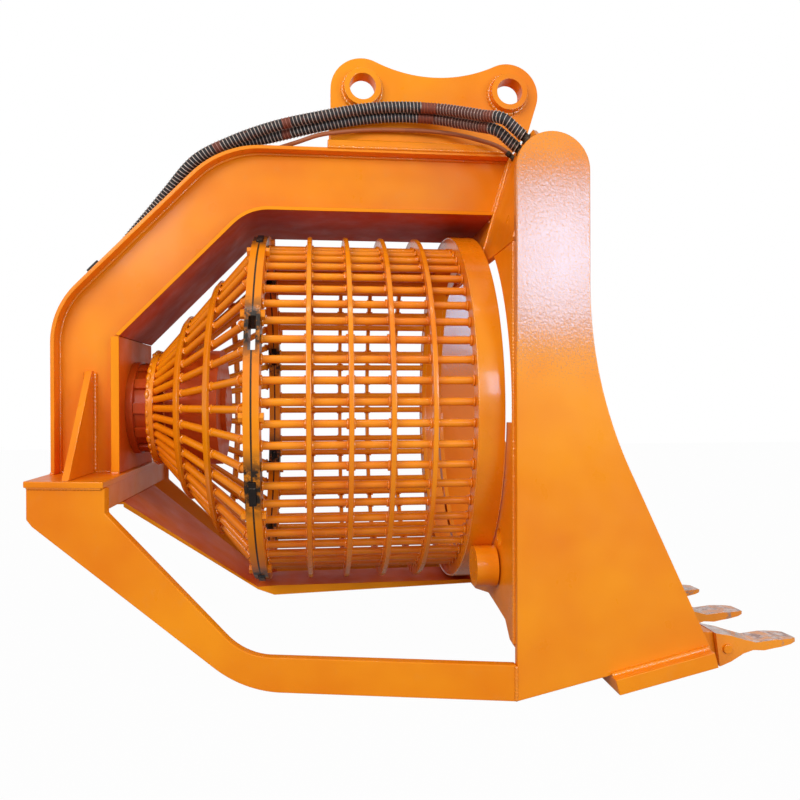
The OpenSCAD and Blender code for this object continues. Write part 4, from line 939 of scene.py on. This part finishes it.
# %% Floor
def sees_background(tree, mirrored):
    """One for a ray from the camera or through glass, the given share for a mirrored one, else zero."""
    rays = add(tree, "LightPath")
    straight = calc(tree, "MAXIMUM", rays.outputs["Is Camera Ray"], rays.outputs["Is Transmission Ray"])
    shiny = calc(tree, "MULTIPLY", rays.outputs["Is Glossy Ray"], mirrored)
    return calc(tree, "MAXIMUM", straight, shiny)


def white_for_camera(name, pale, share):
    """Diffuse for all light; for the rays that see the background mixed with white by the share."""
    mat, tree, shader = new_material(name)
    spots = grain(tree, 1.5)
    tree.links.new(mixed(tree, ramp(tree, spots, 0.3, 0.7, 0.0, 0.25), pale, linear(140, 136, 130)),
                   shader.inputs["Base Color"])
    shader.inputs["Roughness"].default_value = 0.8
    glow = add(tree, "Emission", {"Color": (1, 1, 1, 1), "Strength": 1.0})
    amount = calc(tree, "MULTIPLY", sees_background(tree, 0.2), share)
    blend = add(tree, "MixShader", {0: amount, 1: shader.outputs[0], 2: glow.outputs[0]})
    tree.links.new(blend.outputs[0], tree.nodes["Material Output"].inputs["Surface"])
    return mat


reach = 9.0
corners = np.array([[-reach, -reach, 0], [reach, -reach, 0], [reach, reach, 0], [-reach, reach, 0]])
corners[:, 2] = GROUND_Z - 0.001
floor_mesh = bpy.data.meshes.new("floor")
floor_mesh.from_pydata(corners.tolist(), [], [(0, 1, 2, 3)])
floor_mesh.materials.append(white_for_camera("pale_floor", linear(150, 146, 140), 0.98))
floor = bpy.data.objects.new("floor", floor_mesh)
bpy.context.scene.collection.objects.link(floor)
print("floor at", round(float(corners[0, 2]), 3))

# %% [markdown]
# The light is that of an open shed door: a wide soft panel from the front left, a weaker window
# from the front right, a narrow panel under the roof that draws a thin bright line on each bar,
# and a cool one to the right whose reflection lies on the upper side plate. A pale sky is all
# round. The camera sees it as white, mirroring surfaces see it paler than plain light does, and
# everything else sees it dimmer.

# %% Sky and lamps
def aim(place, target):
    """World matrix of a lamp at place that shines at target: its own -Z points there."""
    z = unit(np.asarray(place, float) - np.asarray(target, float))
    x = unit(np.cross([0, 0, 1.0], z))
    m = np.eye(4)
    m[:3, 0], m[:3, 1], m[:3, 2], m[:3, 3] = x, np.cross(z, x), z, place
    return Matrix(m.tolist())


def panel(name, place, target, width, height, watts, tint=(1.0, 1.0, 1.0)):
    """A soft rectangular lamp."""
    data = bpy.data.lights.new(name, "AREA")
    data.shape, data.size, data.size_y, data.energy, data.color = "RECTANGLE", width, height, watts, tint
    lamp = bpy.data.objects.new(name, data)
    bpy.context.scene.collection.objects.link(lamp)
    lamp.matrix_world = aim(place, target)
    return lamp


world = bpy.data.worlds.new("sky")
bpy.context.scene.world = world
world.use_nodes = True
sky = world.node_tree
strength = ramp(sky, sees_background(sky, 0.4), 0, 1, 0.42, 1.0)
sky.links.new(strength, sky.nodes["Background"].inputs["Strength"])
sky.nodes["Background"].inputs["Color"].default_value = (1, 1, 1, 1)
panel("door_light", (-3.1, -4.2, 1.2), (-0.4, 0, -1.0), 3.0, 2.0, 140)
panel("window_light", (3.2, -4.0, -0.2), (0.3, -0.4, -1.0), 1.5, 1.5, 60)
panel("roof_light", (-0.5, -2.4, 3.4), (-0.5, -0.3, -0.8), 2.4, 0.2, 26)
panel("side_glare", (1.22, -4.2, 0.1), (0.0, -0.65, -0.57), 1.0, 1.0, 60, (0.36, 0.68, 1.0))
bpy.context.scene.view_settings.view_transform = "Standard"
